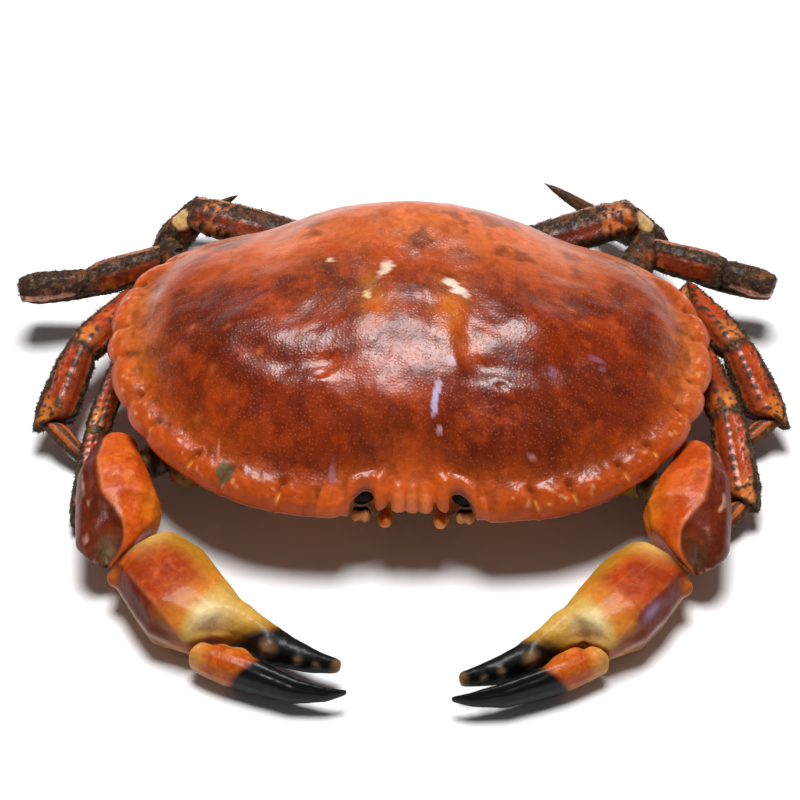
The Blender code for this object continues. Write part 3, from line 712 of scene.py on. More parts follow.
def make_shell():
    """The domed back shell: one polar mesh from its top over the rim to its belly side."""
    low, high = (np.array(c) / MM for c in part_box("carapace"))
    middle_x, half_x = 0.5 * (low[0] + high[0]), 0.5 * (high[0] - low[0])
    half_y = 0.5 * (SHELL_FRONT_REACH + SHELL_BACK_REACH)
    rim = Rim(half_x, middle_x)
    rings = rim.rings()
    count = len(rim.angle)
    points = [np.stack([rim.across * radius, rim.along * radius, z], 1) for radius, z, _ in rings]
    points = np.concatenate(points + [[[0.0, 0.0, rings[0][1].mean()], [0.0, 0.0, BELLY_Z]]])
    share = np.concatenate([np.repeat([tag for _, _, tag in rings], count), [0.0, BELLY_SHARE]])
    u = points[:, 0] / half_x
    v = (points[:, 1] + half_y - SHELL_BACK_REACH) / half_y
    points += np.array([middle_x, high[1] - SHELL_BACK_REACH, 0.0])
    grain = waver(points, 9.0, 3, 5, 0.9) * step(LIP_SHARE, 0.85, share)
    grain += (fractal(points, 2.2, 2, 6) - 0.5) * (0.22 + 0.5 * step(0.86, 0.95, share) * (share <= 1.0))
    relief = shell_relief(u, v, np.minimum(share, 1.0)) + grain
    points[:, 2] += np.where(share <= 1.0, relief, 0.0)
    points[:, 2] += SHELL_LEAN * (points[:, 0] - MIDDLE_X) * step(BELLY_SHARE, LIP_SHARE, share)

    def everywhere(values, middle=0.0):
        return np.concatenate([np.tile(values, len(rings)), [middle, middle]])

    def inwards(edge):
        return np.concatenate([np.maximum(edge - radius, 0.0) for radius, _, _ in rings] + [[50.0, 50.0]])

    marks = {
        "inboard": inwards(rim.outline - rim.setback),
        "edge": inwards(rim.outline - rim.setback - rim.cut),
        "notch": everywhere(bell(rim.from_notch, 0.42) * rim.in_lobes),
        "puff": everywhere(rim.puff),
        "face": everywhere(rim.in_face),
        "turn": everywhere(rim.turn),
        "from_face": everywhere(rim.from_face, 50.0),
        "ribs": everywhere((rim.from_face < TEETH_HALF_WIDTH) * (1.0 - rim.between)),
    }
    colour, masks = paint_shell(points, u, v, share, marks, (half_x, half_y))
    faces = polar_faces(len(rings), count)
    add_piece("back_shell", points, faces, colour, masks, "shell", "shell", "carapace")


def mark_distance(u, v, half_x, half_y, mark):
    """Distance of each point from the middle of an oval mark, 1 at its edge."""
    x, y, wide, long = mark
    return np.sqrt(((u - x) * half_x / wide) ** 2 + ((v - y) * half_y / long) ** 2)


def shell_base(points, u, v, half, reach, outside):
    """Mottled red-brown of the back, paler towards its rear and its edge, with blotches."""
    blot, fine = fractal(points, 22.0, 4, 1), fractal(points, 5.0, 3, 2)
    colour = mix((136, 38, 0), (102, 26, 0), step(0.42, 0.62, blot) * 0.6)
    colour = mix(colour, (152, 54, 9), step(0.55, 0.40, blot) * 0.45)
    wobble = shell_wobble(points)
    colour = mix(colour, (172, 72, 14), step(0.78, 0.92, reach) * 0.85)
    behind = v - 0.35 * np.abs(u) ** 2 + 1.3 * wobble
    colour = mix(colour, (170, 70, 22), step(-0.02, 0.18, behind) * 0.55)
    colour = mix(colour, (192, 98, 48), step(0.18, 0.48, behind) * 0.80)
    for *mark, tint, strength in SHELL_BLOTCHES:
        ragged = mark_distance(u, v, *half, mark) ** 2 * (0.55 + 0.9 * fine)
        colour = mix(colour, tint, strength * np.exp(-ragged) * outside)
    mottle = fractal(points, 2.6, 3, 9)
    colour = mix(colour, colour * 0.62, step(0.50, 0.68, mottle) * 0.55)
    colour = mix(colour, colour * 1.35, step(0.56, 0.72, fractal(points, 6.0, 3, 12)) * 0.5)
    for x, y in PALE_SPOTS:
        distance = mark_distance(u, v, *half, (x, y, 1.1, 1.1))
        colour = mix(colour, (206, 104, 50), 0.6 * np.exp(-(distance**2)) * outside)
    patchy = fractal(points, 6.5, 4, 17)
    top = step(0.98, 0.80, reach) * outside
    colour = mix(colour, (76, 22, 3), step(0.54, 0.68, patchy) * top * 0.55)
    colour = mix(colour, (178, 66, 12), step(0.44, 0.32, patchy) * top * 0.45)
    mottle = step(0.52, 0.66, fractal(points, 3.4, 3, 16)) * step(0.55, 0.85, reach)
    return mix(colour, (116, 42, 10), mottle * 0.5 * outside)


def shell_wobble(points):
    """Slow waviness of the borders between the shell's colours."""
    return waver(points, 14.0, 3, 3, 0.10)


def paint_rim(colour, points, marks, outside):
    """Bright lobes with pale notches, painted shade in the dimples at the notches' ends and a painted
    highlight near the lobes' crests.
    """
    inboard, fine = marks["inboard"], fractal(points, 5.0, 3, 2)
    in_lobes = (marks["turn"] > LOBE_START_DEG + 3.0) & (marks["turn"] < LOBE_END_DEG + 3.0)
    lobes = step(7.0, 3.5, inboard) * outside * in_lobes
    colour = mix(colour, (196, 76, 18), lobes * (0.25 + 0.5 * fine))
    colour = mix(colour, (208, 88, 26), step(9.0, 3.0, inboard) * outside * marks["face"] * 0.7)
    line = marks["notch"] * step(4.4, 3.2, inboard) * step(0.6, 1.6, marks["edge"]) * outside
    colour = mix(colour, (232, 170, 78), line * (0.3 + fine) * 0.85)
    # Painted shade in the sunken dimples at the inner ends of the notches.
    dimple_shade = np.sqrt(marks["notch"]) * bell(inboard - DIMPLE_INBOARD, 1.0) * outside
    colour = mix(colour, (70, 28, 8), dimple_shade * 0.75)
    # Painted highlight: pale glints near the crests of the puffed lobes.
    lobe_glint = step(0.25, 0.6, bell(inboard - 3.2, 2.0) * marks["puff"])
    lobe_glint *= step(0.68, 0.82, noise(points, 1.5, 15))
    return mix(colour, (234, 174, 118), lobe_glint * 0.45 * outside)


def paint_face(colour, marks, outside):
    """Pale ribs of the front teeth as a painted highlight, painted shade in the creases between them and
    along the edges of the eye hollows, and the dark seams.
    """
    inboard, from_face, face = marks["inboard"], marks["from_face"], marks["face"]
    near_teeth = face * step(4.5, 1.5, inboard) * outside
    # Painted highlight on the raised ribs of the front teeth.
    colour = mix(colour, (226, 140, 84), marks["ribs"] * near_teeth * 0.35)
    # Painted shade in the creases between the front teeth.
    creases = (from_face < TEETH_HALF_WIDTH) * step(0.45, 0.1, marks["ribs"])
    colour = mix(colour, (120, 40, 10), creases * near_teeth * 0.6)
    colour = mix(colour, (84, 32, 8), suture_line(from_face, inboard) * 0.45 * outside)
    # Painted shade along the cut edges of the eye hollows.
    orbit = bell(from_face - ORBIT_X, ORBIT_HALF_WIDTH) * face * step(0.9, 0.2, marks["edge"])
    return mix(colour, (96, 36, 14), orbit * 0.8)


def paint_shell(points, u, v, share, marks, half):
    """Colours and masks of the back shell."""
    outside = (share <= 1.0) * 1.0
    inboard = marks["inboard"]
    reach = np.minimum(share, 1.0) + shell_wobble(points)
    colour = shell_base(points, u, v, half, reach, outside)
    colour = paint_face(paint_rim(colour, points, marks, outside), marks, outside)
    rough = 0.33 + waver(points, 7.0, 3, 18, 0.16) + 0.02 * step(8.0, 3.0, inboard)
    uneven = 1.0 + waver(points, 1.7, 2, 40, 1.2)
    for *mark, tint, strength in SHELL_FLAKES:
        distance = mark_distance(u, v, *half, mark) * uneven
        amount = (1.0 - step(0.75, 1.20, distance)) * outside
        colour = mix(colour, tint, strength * amount)
        rough = rough + 0.2 * amount
    colour = np.where((share > 1.01)[:, None], paint(168, 92, 44), colour)
    dots = 0.42 * step(0.62, 0.15, v) * step(4.0, 8.0, inboard) * outside
    return colour, (dots, rough, 0.55 + 0.45 * step(4.0, 8.0, inboard) * outside)


# ---------------------------------------------------------------- claws
def netted(points, seed, base, deep, pale):
    """Base colour with blotches of a deeper one, a fine dark net and paler specks."""
    colour = mix(base, deep, step(0.42, 0.62, fractal(points, 8.0, 3, seed)) * 0.75)
    net = 1.0 - np.abs(2.0 * fractal(points, 2.4, 2, seed + 1) - 1.0)
    colour = mix(colour, deep, step(0.82, 0.97, net) * 0.55)
    return mix(colour, pale, step(0.56, 0.74, fractal(points, 3.6, 3, seed + 2)) * 0.5)


def make_claw_wrist(side):
    """The wrist: orange inside, maroon outside, with a ridge between."""
    node = f"claw_carpus_{side}"
    points, faces, normals, place = limb(node, 0.45, 36, cad_points(f"claw_merus_{side}").mean(0))
    t = place.t
    off = place.turned(58.0 + 16.0 * t + 44.0 * step(0.64, 0.96, t))
    ends = step(0.02, 0.14, t) * (1.0 - step(0.90, 0.99, t))
    push = 0.5 * bell(off, 16.0) * ends
    push -= 0.2 * bell(off - 42.0, 20.0) * ends
    push -= 0.3 * bell(off + 36.0, 18.0) * ends
    push += 1.6 * place.near_angle(14.0, 36.0) * ends
    push += 1.0 * bell(t - 0.86, 0.08) * place.near_angle(140.0, 30.0)
    push -= 0.6 * bell(t - 0.72, 0.05) * place.near_angle(128.0, 40.0)
    push += waver(points, 5.0, 3, 60, 0.5) + waver(points, 1.6, 2, 64, 0.22)
    swell, contact_shade = meet(points, f"claw_palm_{side}", f"claw_merus_{side}")
    lobe = step(0.70, 0.97, t) * (place.near_angle(40.0, 32.0) + place.near_angle(126.0, 34.0))
    lift = 0.8 * place.near_angle(90.0, 60.0) * bell(t - 0.93, 0.10)
    points = points + normals * (push + swell + lift)[:, None] + place.axis * (4.4 * lobe)[:, None]
    colour = netted(points, 61, (196, 84, 18), (168, 56, 10), (212, 116, 44))
    colour = mix(colour, (222, 128, 30), step(0.45, 0.85, t) * step(30.0, 80.0, off) * 0.8)
    ragged = waver(points, 3.0, 3, 62, 7.0)
    maroon = step(4.0, -8.0, off + ragged) * step(-178.0, -140.0, off)
    outer = netted(points, 66, (90, 27, 8), (58, 15, 5), (122, 44, 16))
    colour = mix(colour, outer, 0.93 * maroon)
    # Painted reflection: a pale lilac sheen of the white floor along the outer edge.
    edge = place.near_angle(2.0, 13.0) * (0.5 + 0.7 * fractal(points, 2.4, 3, 67))
    colour = mix(colour, (160, 116, 108), edge * 0.6)
    stretched = points * [1.0, 0.35, 1.0]
    streaks = place.near_angle(30.0 + 14.0 * t, 7.0) * step(0.55, 0.75, fractal(stretched, 1.8, 2, 68))
    colour = mix(colour, (196, 148, 130), streaks * 0.7)
    # Painted highlight along the crest of the ridge.
    colour = mix(colour, (214, 130, 84), bell(off, 3.0) * ends * (0.1 + 0.7 * fractal(points, 3.0, 2, 69)))
    cream = bell(t - 0.99, 0.06) * place.near_angle(84.0, 24.0) * (0.1 + 1.0 * fractal(points, 1.6, 3, 65))
    cream *= 0.9 if side == "L" else 0.35
    colour = mix(colour, (186, 166, 124), cream)
    colour = mix(colour, (186, 118, 58), step(-0.2, -0.7, place.high) * 0.7)
    # Painted shade where the wrist meets the palm and the arm.
    colour = mix(colour, (44, 26, 10), contact_shade * 0.92)
    rough = 0.42 + waver(points, 6.0, 2, 63, 0.08)
    add_piece(f"claw_wrist_{side}", points, faces, colour, (0.10, rough, 0.6), "claw", "claw_shell", node)


# Blunt teeth of the fixed finger: share along the palm, half length, half width in degrees, height.
FINGER_TEETH = ((0.745, 0.034, 26.0, 1.2), (0.862, 0.019, 22.0, 0.9), (0.926, 0.015, 20.0, 0.8))


def make_claw_palm(side):
    """The palm with its fixed finger: orange top, maroon outer side, cream at the joint, black finger."""
    node = f"claw_palm_{side}"
    near, far = cad_points(f"claw_carpus_{side}").mean(0), cad_points(node)
    first = Local(far, near, 1)
    root = far[first.t < 0.12]
    outermost = root[np.argmax(root @ first.side)]
    knob = outermost - 1.2 * first.side + 0.2 * first.axis + 0.8 * first.rise
    points, faces, normals, place = limb(node, 0.42, 44, near, ((knob, 3.0),))
    t = place.t
    hand = 1.0 - step(0.52, 0.64, t)
    ridge = 48.0 - 36.0 * step(0.28, 0.52, t)
    off = place.turned(ridge)
    push = 0.55 * bell(off, 12.0) * hand * step(0.03, 0.12, t)
    push -= 0.2 * bell(off - 38.0, 20.0) * hand * step(0.05, 0.2, t)
    push -= 0.3 * bell(off + 30.0, 16.0) * hand * step(0.05, 0.2, t)
    push += 0.8 * bell(t - 0.06, 0.05) * place.near_angle(128.0, 30.0)
    teeth = np.zeros(len(points))
    for spot, long, wide, amount in FINGER_TEETH:
        teeth += amount * bell(t - spot, long) * place.near_angle(36.0, wide)
    push += teeth + waver(points, 4.0, 3, 70, 0.4) + waver(points, 1.5, 2, 76, 0.16)
    swell, contact_shade = meet(points, f"claw_finger_{side}", f"claw_carpus_{side}")
    swell *= 0.45 * (1.0 - step(0.60, 0.66, t))
    contact_shade *= 1.0 - step(0.64, 0.70, t)
    lap = (1.0 - step(0.03, 0.15, t)) * place.near_angle(84.0, 60.0)
    push += swell * (1.0 - lap) - 2.0 * lap
    points = points + normals * push[:, None] - place.axis * (1.5 * lap)[:, None]
    colour, black = palm_coat(place, points, off, hand, side)
    spots = clamp(teeth * 1.2 - 0.15) * step(0.66, 0.70, t)
    colour = mix(colour, (128, 96, 62), spots * (0.45 + 0.7 * fractal(points, 1.4, 2, 79)))
    colour = mix(colour, (128, 92, 54), step(0.965, 0.992, t) * 0.85)
    knob_spot = bell(np.linalg.norm(points - knob, axis=1), 2.6)
    colour = mix(colour, (206, 108, 36), knob_spot)
    # Painted shade where the palm meets the finger and the wrist; the orange knob is spared.
    colour = mix(colour, (36, 24, 10), contact_shade * (1.0 - knob_spot) * 0.95)
    masks = (0.10 * (1.0 - black), 0.46 - 0.02 * black + 0.10 * spots, 0.6 - 0.4 * black)
    add_piece(f"claw_hand_{side}", points, faces, colour, masks, "claw", "claw_shell", node)


def palm_coat(place, points, off, hand, side):
    """Colour of the palm and the fixed finger, with a painted floor reflection, a painted ridge highlight
    and painted shade at the root, and how black each point is.
    """
    t = place.t
    colour = netted(points, 71, (168, 62, 10), (134, 38, 6), (188, 88, 24))
    ragged = waver(points, 4.0, 2, 72, 7.0)
    maroon = step(5.0, -6.0, off + ragged) * step(-178.0, -140.0, off)
    outer = netted(points, 77, (98, 25, 5), (66, 15, 4), (134, 44, 14))
    colour = mix(colour, outer, 0.92 * maroon)
    colour = mix(colour, (178, 104, 50), maroon * step(0.30, 0.5, t) * 0.6)
    # Painted reflection: a pale band of the white floor along the outer lower side.
    floor_reflection = place.near_angle(-6.0 - 26.0 * step(0.3, 0.5, t), 8.0) * hand
    floor_reflection *= 0.55 + 0.6 * fractal(points, 3.0, 3, 78)
    colour = mix(colour, (186, 150, 132), floor_reflection * 0.8)
    # Painted highlight: a pale line along the palm's ridge.
    ridge_highlight = bell(off, 3.4) * hand * step(0.08, 0.2, t) * fractal(points, 2.6, 2, 83)
    colour = mix(colour, (210, 124, 80), ridge_highlight * 0.7)
    blue = bell(t - 0.27, 0.05) * bell(off + 14.0, 8.0) * (side == "R")
    colour = mix(colour, (150, 118, 150), blue * 0.8)
    colour = mix(colour, (176, 128, 34), step(100.0, 132.0, place.angle) * hand * 0.8)
    drift = waver(points, 6.0, 3, 73, 0.12)
    colour = mix(colour, (214, 132, 44), step(0.30, 0.42, t + drift) * step(8.0, 30.0, place.angle) * 0.65)
    cream = step(0.41, 0.47, t + 0.4 * drift) * step(2.0, 16.0, place.angle)
    colour = mix(colour, (196, 150, 66), cream)
    cream *= bell(t - 0.50, 0.055) * place.near_angle(62.0, 30.0)
    colour = mix(colour, (224, 202, 150), cream * 0.95)
    corner = bell(t - 0.07, 0.07) * place.near_angle(118.0, 34.0)
    colour = mix(colour, (210, 170, 92), corner * 0.85)
    # Painted shade at the palm's root, where it runs in under the wrist.
    colour = mix(colour, (40, 26, 10), (1.0 - step(0.02, 0.06, t)) * 0.85)
    for start, shift in ((0.16, 0.0), (0.30, 7.0)):
        scratch = place.near_angle(84.0 + shift - 26.0 * (t - start), 1.5) * bell(t - start, 0.055)
        colour = mix(colour, (206, 110, 52), scratch * 0.3)
    colour = mix(colour, (190, 128, 70), step(-0.1, -0.7, place.high) * hand * 0.8)
    edge = t - 0.13 * place.inner() + waver(points, 4.0, 3, 74, 0.030)
    colour = mix(colour, (150, 104, 22), step(0.52, 0.58, edge) * 0.8)
    colour = mix(colour, (66, 44, 18), step(0.575, 0.605, edge) * 0.85)
    black = step(0.60, 0.625, edge)
    return mix(colour, (17, 16, 17), black), black


def make_claw_finger(side):
    """The movable finger: orange at its root, black beyond."""
    node = f"claw_finger_{side}"
    points, faces, normals, place = limb(node, 0.38, 8, cad_points(f"claw_palm_{side}").mean(0))
    t = place.t
    push = 0.4 * place.near_angle(100.0, 16.0) * step(0.25, 0.45, t) * (1.0 - step(0.85, 1.0, t))
    push -= 0.35 * place.near_angle(62.0, 13.0) * step(0.35, 0.5, t) * (1.0 - step(0.8, 0.95, t))
    for i in range(6):
        push += 0.45 * bell(t - 0.42 - 0.09 * i, 0.022) * place.near_angle(170.0, 22.0)
    push += waver(points, 3.5, 3, 80, 0.3) + waver(points, 1.3, 2, 85, 0.1)
    swell, contact_shade = meet(points, f"claw_palm_{side}")
    swell *= 1.0 - step(0.30, 0.40, t)
    contact_shade *= 1.0 - step(0.26, 0.36, t)
    points = points + normals * (push + swell)[:, None]
    colour = netted(points, 81, (186, 88, 20), (156, 54, 12), (204, 124, 48))
    colour = mix(colour, (208, 150, 70), (1.0 - step(0.03, 0.15, t)) * 0.7)
    colour = mix(colour, (206, 146, 66), place.near_angle(158.0, 24.0) * 0.7)
    colour = mix(colour, (176, 128, 100), step(0.1, -0.6, place.high) * 0.75)
    edge = t - 0.15 * place.inner() + waver(points, 3.0, 2, 82, 0.025)
    colour = mix(colour, (110, 44, 14), step(0.235, 0.285, edge) * 0.8)
    black = step(0.27, 0.305, edge)
    colour = mix(colour, (15, 14, 16), black)
    colour = mix(colour, (62, 40, 28), step(0.96, 1.0, t) * 0.7)
    # Painted shade where the finger meets the palm.
    colour = mix(colour, (36, 24, 10), contact_shade * (1.0 - black) * 0.95)
    masks = (0.10 * (1.0 - black), 0.38 + 0.04 * black, 0.5 - 0.35 * black)
    add_piece(f"claw_thumb_{side}", points, faces, colour, masks, "claw", "claw_tip", node)


def make_claw_arm(side):
    """The arm between shell and wrist: olive-cream with orange."""
    node = f"claw_merus_{side}"
    points, faces = fine_copy(node, 0.6, 10)
    normals = point_normals(points, faces)
    swell, contact_shade = meet(points, f"claw_carpus_{side}")
    points = points + normals * (waver(points, 5.0, 3, 90, 1.1) + swell)[:, None]
    colour = mix((148, 122, 56), (84, 66, 28), step(0.42, 0.58, fractal(points, 4.0, 3, 91)) * 0.85)
    colour = mix(colour, (178, 92, 36), step(0.52, 0.66, fractal(points, 8.0, 3, 92)) * 0.5)
    # Painted shade where the arm meets the wrist.
    colour = mix(colour, (30, 20, 8), contact_shade * 0.8)
    masks = (0.1, 0.42, 0.4)
    add_piece(f"claw_arm_{side}", points, faces, colour, masks, "claw", "claw_shell", node)


# ---------------------------------------------------------------- walking legs
BRISTLES = []
LEG_ORDER = ("coxa", "merus", "carpus", "propodus", "dactyl")
LEG_VOXEL = 0.48
TIP_VOXEL = 0.42
TIP_TINTS = {"2": (176, 88, 38), "3": (176, 88, 38), "4": (150, 80, 56), "5": (74, 46, 20)}
# Hairy bands of the front and hind pairs: angle round the leg, half width, strength.
FORE_BANDS = ((16.0, 48.0, 1.05), (-150.0, 30.0, 0.8), (168.0, 16.0, 0.9))
HIND_BANDS = ((98.0, 25.0, 0.95), (12.0, 26.0, 0.75), (-160.0, 26.0, 0.8))
# Share of a piece that is dark and hairy all over.
DARK_PIECES = {
    "4merus": 0.60, "4carpus": 0.15, "4propodus": 0.95,
    "5merus": 0.45, "5carpus": 0.60, "5propodus": 0.60,
}


def grow_bristles(points, normals, axis, chance, length):
    """Choose places for bristles: root, direction and length of each."""
    chosen = RANDOM.random(len(points)) < chance
    roots, out = points[chosen], normals[chosen]
    clump = np.stack([noise(roots, 1.6, 300 + k) - 0.5 for k in range(3)], 1)
    lean = RANDOM.normal(0.0, 0.22, roots.shape) + 1.1 * clump + 0.45 * axis
    direction = out + lean
    direction /= np.linalg.norm(direction, axis=1)[:, None]
    sizes = length * (0.5 + 0.8 * RANDOM.random(len(roots)))
    BRISTLES.append((roots, direction, sizes))


def leg_dots(place, angle, pitch, radius, seed, points):
    """A wandering row of round dots along a leg piece."""
    wander = noise(points, 5.0, seed) - 0.5
    along = np.abs((place.mm / pitch + 1.4 * wander) % 1.0 - 0.5) * pitch
    around = np.radians(place.turned(angle + 14.0 * wander)) * place.half_side
    size = radius * (0.5 + 1.1 * noise(points, 2.6, seed + 40))
    return 1.0 - step(0.7, 1.2, np.hypot(along, around) / size)


def leg_hair(place, points, seed, kind, hind, tip):
    """How hairy each point is: along bands, all over the dark pieces and at both joints."""
    bands = np.zeros(len(points))
    for centre, width, strength in HIND_BANDS if hind else FORE_BANDS:
        bands = np.maximum(bands, strength * place.near_angle(centre, width))
    ragged = 0.55 + 0.9 * fractal(points, 2.0, 3, seed)
    hairy = step(0.38, 0.62, (bands + 0.75 * DARK_PIECES.get(kind, 0.0)) * ragged)
    drifted = place.t + waver(points, 2.0, 2, seed + 8, 0.03)
    joint = np.maximum(step(0.91, 0.96, drifted) * (not tip), 1.0 - step(0.03, 0.07, drifted))
    return np.maximum(hairy, 0.9 * joint)


def leg_relief(place, points, seed, kind, hind, hairy, tufts, body):
    """Height of the hair, the long grooves and the lumps; the hindmost upper pieces are stouter."""
    if kind.endswith("dactyl"):
        push = waver(points, 1.6, 3, seed + 1, 0.25)
        for groove in (45.0, 135.0, -45.0, -135.0):
            push -= 0.28 * place.near_angle(groove, 14.0) * body * (1.0 - place.t)
        return push
    push = hairy * (0.15 + 0.75 * (tufts - 0.4)) * body
    push -= 0.55 * place.near_angle(84.0, 16.0) * body * (not hind)
    push -= 0.4 * place.near_angle(138.0, 18.0) * body
    push += waver(points, 2.2, 3, seed + 1, 0.25)
    if kind == "4merus":
        push += 3.4 * body * place.near_angle(75.0, 62.0)
    if kind == "5merus":
        push += body * (3.0 * place.near_angle(172.0, 50.0) + 0.8 * place.near_angle(100.0, 50.0))
    return push


def leg_coat(place, points, seed, kind, hind):
    """Colour of a leg piece under its hair, and the shares of hair and dots that its pale marks keep."""
    t, kept_hair, kept_dots = place.t, 1.0, 1.0
    if hind:
        colour = netted(points, seed + 2, (118, 42, 12), (76, 24, 8), (168, 78, 34))
        ridge = place.near_angle(58.0, 16.0) * step(0.3, 0.6, fractal(points, 2.0, 2, seed + 9))
        colour = mix(colour, (178, 96, 44), ridge * 0.8)
    else:
        colour = netted(points, seed + 2, (170, 62, 16), (120, 38, 10), (198, 96, 38))
        colour = mix(colour, (98, 36, 12), place.near_angle(138.0, 26.0) * 0.7)
        colour = mix(colour, (216, 130, 54), step(0.6, 0.88, t) * place.near_angle(75.0, 40.0) * 0.7)
    if kind == "4propodus":
        pink = place.near_angle(-172.0, 24.0) * step(0.15, 0.35, t)
        pink *= 0.5 + fractal(points, 2.0, 2, seed + 12)
        colour = mix(colour, (198, 136, 112), step(0.4, 0.7, pink))
        kept_hair = 1.0 - step(0.45, 0.75, pink)
    if kind == "5carpus":
        cream = bell(t - 0.30, 0.16) * place.near_angle(100.0, 44.0)
        cream *= 0.5 + fractal(points, 2.0, 3, seed + 13)
        colour = mix(colour, (206, 164, 106), step(0.35, 0.6, cream))
        kept_hair, kept_dots = 1.0 - step(0.30, 0.5, cream), 1.0 - step(0.25, 0.4, cream)
    if kind == "5merus":
        beads = step(0.45, 0.6, fractal(points, 1.5, 2, seed + 11)) * step(0.66, 0.8, t)
        colour = mix(colour, (188, 108, 52), beads * 0.8)
        kept_hair = 1.0 - 0.8 * beads
    return colour, kept_hair, kept_dots


def leg_spots(place, points, seed, piece, hind, body):
    """Dark dots in one or two rows along a leg piece, and scattered ones near its far end."""
    dots = leg_dots(place, 106.0, 3.4, 0.60 if piece == "merus" else 0.95, seed + 4, points)
    dots = np.maximum(dots, leg_dots(place, 66.0, 2.9, 0.50, seed + 5, points) * (not hind))
    scatter = step(0.74, 0.80, noise(points, 1.25, seed + 6)) * step(0.5, 0.85, place.t)
    return np.maximum(dots, scatter) * body * (piece != "dactyl")


def hair_coat(points, seed, hind):
    """Mottled brown of the hair, with rusty patches on the hind legs."""
    speckle = step(0.56, 0.70, fractal(points, 0.9, 2, seed + 7))
    colour = mix((44, 25, 10), (112, 76, 36), speckle * 0.7)
    rust = step(0.58, 0.7, fractal(points, 3.4, 2, seed + 10)) * hind
    return mix(colour, (120, 64, 28), rust * 0.5)


def tip_coat(place, leg, tufts):
    """Colour of a leg's last piece, darker towards its point, and its stripes of hair."""
    t = place.t
    colour = mix(TIP_TINTS[leg], (70, 40, 18), step(0.3, 0.7, t))
    colour = mix(colour, (30, 19, 12), step(0.72, 0.92, t))
    stripes = place.near_angle(62.0, 17.0) + place.near_angle(122.0, 17.0)
    bare = step(0.62, 0.38, stripes + 0.4 * (tufts - 0.5))
    return colour, 0.9 * bare * (1.0 - step(0.80, 0.95, t))


def make_hip(leg, side):
    """The hip of a walking leg, under the shell."""
    node = f"leg{leg}_coxa_{side}"
    points, faces = fine_copy(node, LEG_VOXEL, 5)
    colour = netted(points, 11, (186, 128, 74), (166, 72, 24), (206, 150, 96))
    name = f"leg{leg}_hip_{side}"
    add_piece(name, points, faces, colour, (0.1, 0.45, 0.4), "under", "under_shell", node)


def make_leg_piece(leg, piece, side):
    """One leg piece with its hairy bands, rows of dark dots and dark joint."""
    kind, node = leg + piece, f"leg{leg}_{piece}_{side}"
    before = LEG_ORDER[LEG_ORDER.index(piece) - 1]
    tip, hind = piece == "dactyl", leg in "45"
    near = cad_points(f"leg{leg}_{before}_{side}").mean(0)
    points, faces, normals, place = limb(node, TIP_VOXEL if tip else LEG_VOXEL, 5, near, slices=16)
    t, seed = place.t, 100 + 7 * int(leg) + (side == "R")
    body = step(0.0, 0.07, t) * (1.0 - step(0.95, 1.0, t))
    tufts = fractal(points, 1.3, 2, seed + 3)
    hairy = leg_hair(place, points, seed, kind, hind, tip)
    colour, kept_hair, kept_dots = leg_coat(place, points, seed, kind, hind)
    dots = leg_spots(place, points, seed, piece, hind, body) * kept_dots
    push = leg_relief(place, points, seed, kind, hind, hairy, tufts, body) + 0.12 * dots * body
    reach = 1.3 * (step(0.90, 1.0, t) * (not tip) - (1.0 - step(0.0, 0.10, t)))
    points = points + normals * push[:, None] + place.axis * reach[:, None]
    colour, hairy = mix(colour, (34, 20, 10), dots * 0.92), hairy * kept_hair
    if tip:
        colour, hairy = tip_coat(place, leg, tufts)
    colour = mix(colour, hair_coat(points, seed, hind), hairy)
    rough = 0.30 + 0.42 * np.maximum(hairy, 0.6 * dots)
    masks = (0.2 * (1.0 - hairy), rough, 0.35 + 0.65 * hairy)
    slot = "dark_shell" if tip else "limb_shell"
    add_piece(f"leg{leg}_{piece}_look_{side}", points, faces, colour, masks, "leg", slot, node)
    chance = (0.06 if tip else 0.16) * hairy * step(0.3, 0.6, tufts + 0.15)
    grow_bristles(points, normals, place.axis, chance, 0.6 if tip else 0.85)


def make_bristles():
    """All leg bristles as one mesh of slim three-sided cones."""
    roots = np.concatenate([b[0] for b in BRISTLES])
    direction = np.concatenate([b[1] for b in BRISTLES])
    sizes = np.concatenate([b[2] for b in BRISTLES])
    aside = np.cross(direction, np.array([0.31, 0.73, 0.61]))
    aside /= np.linalg.norm(aside, axis=1)[:, None]
    other = np.cross(direction, aside)
    thick = 0.14 + 0.06 * RANDOM.random(len(roots))
    base = roots - direction * 0.25
    corners = []
    for k in range(3):
        turn = 2.0 * math.pi * k / 3.0
        corners.append(base + (aside * math.cos(turn) + other * math.sin(turn)) * thick[:, None])
    corners.append(roots + direction * sizes[:, None])
    points = np.stack(corners, 1).reshape(-1, 3)
    start = np.arange(len(roots))[:, None] * 4
    cone = np.array([[0, 1, 3], [1, 2, 3], [2, 0, 3], [0, 2, 1]])
    faces = (start[:, :, None] + cone[None]).reshape(-1, 3).tolist()
    shade = np.repeat(RANDOM.random(len(roots)), 4)
    colour = mix((46, 28, 12), (118, 84, 42), shade**2 * 0.8)
    add_piece("leg_bristles", points, faces, colour, (0.0, 0.6, 0.2), "bristle", "dark_shell")


# ---------------------------------------------------------------- face, belly and joints
FEELER_TINTS = ((232, 136, 62), (206, 96, 34))
MOUTH_TINTS = ((150, 96, 50), (112, 50, 22))
BREAST_TINTS = ((222, 184, 130), (204, 132, 78))
TAIL_TINTS = ((220, 180, 128), (200, 130, 80))


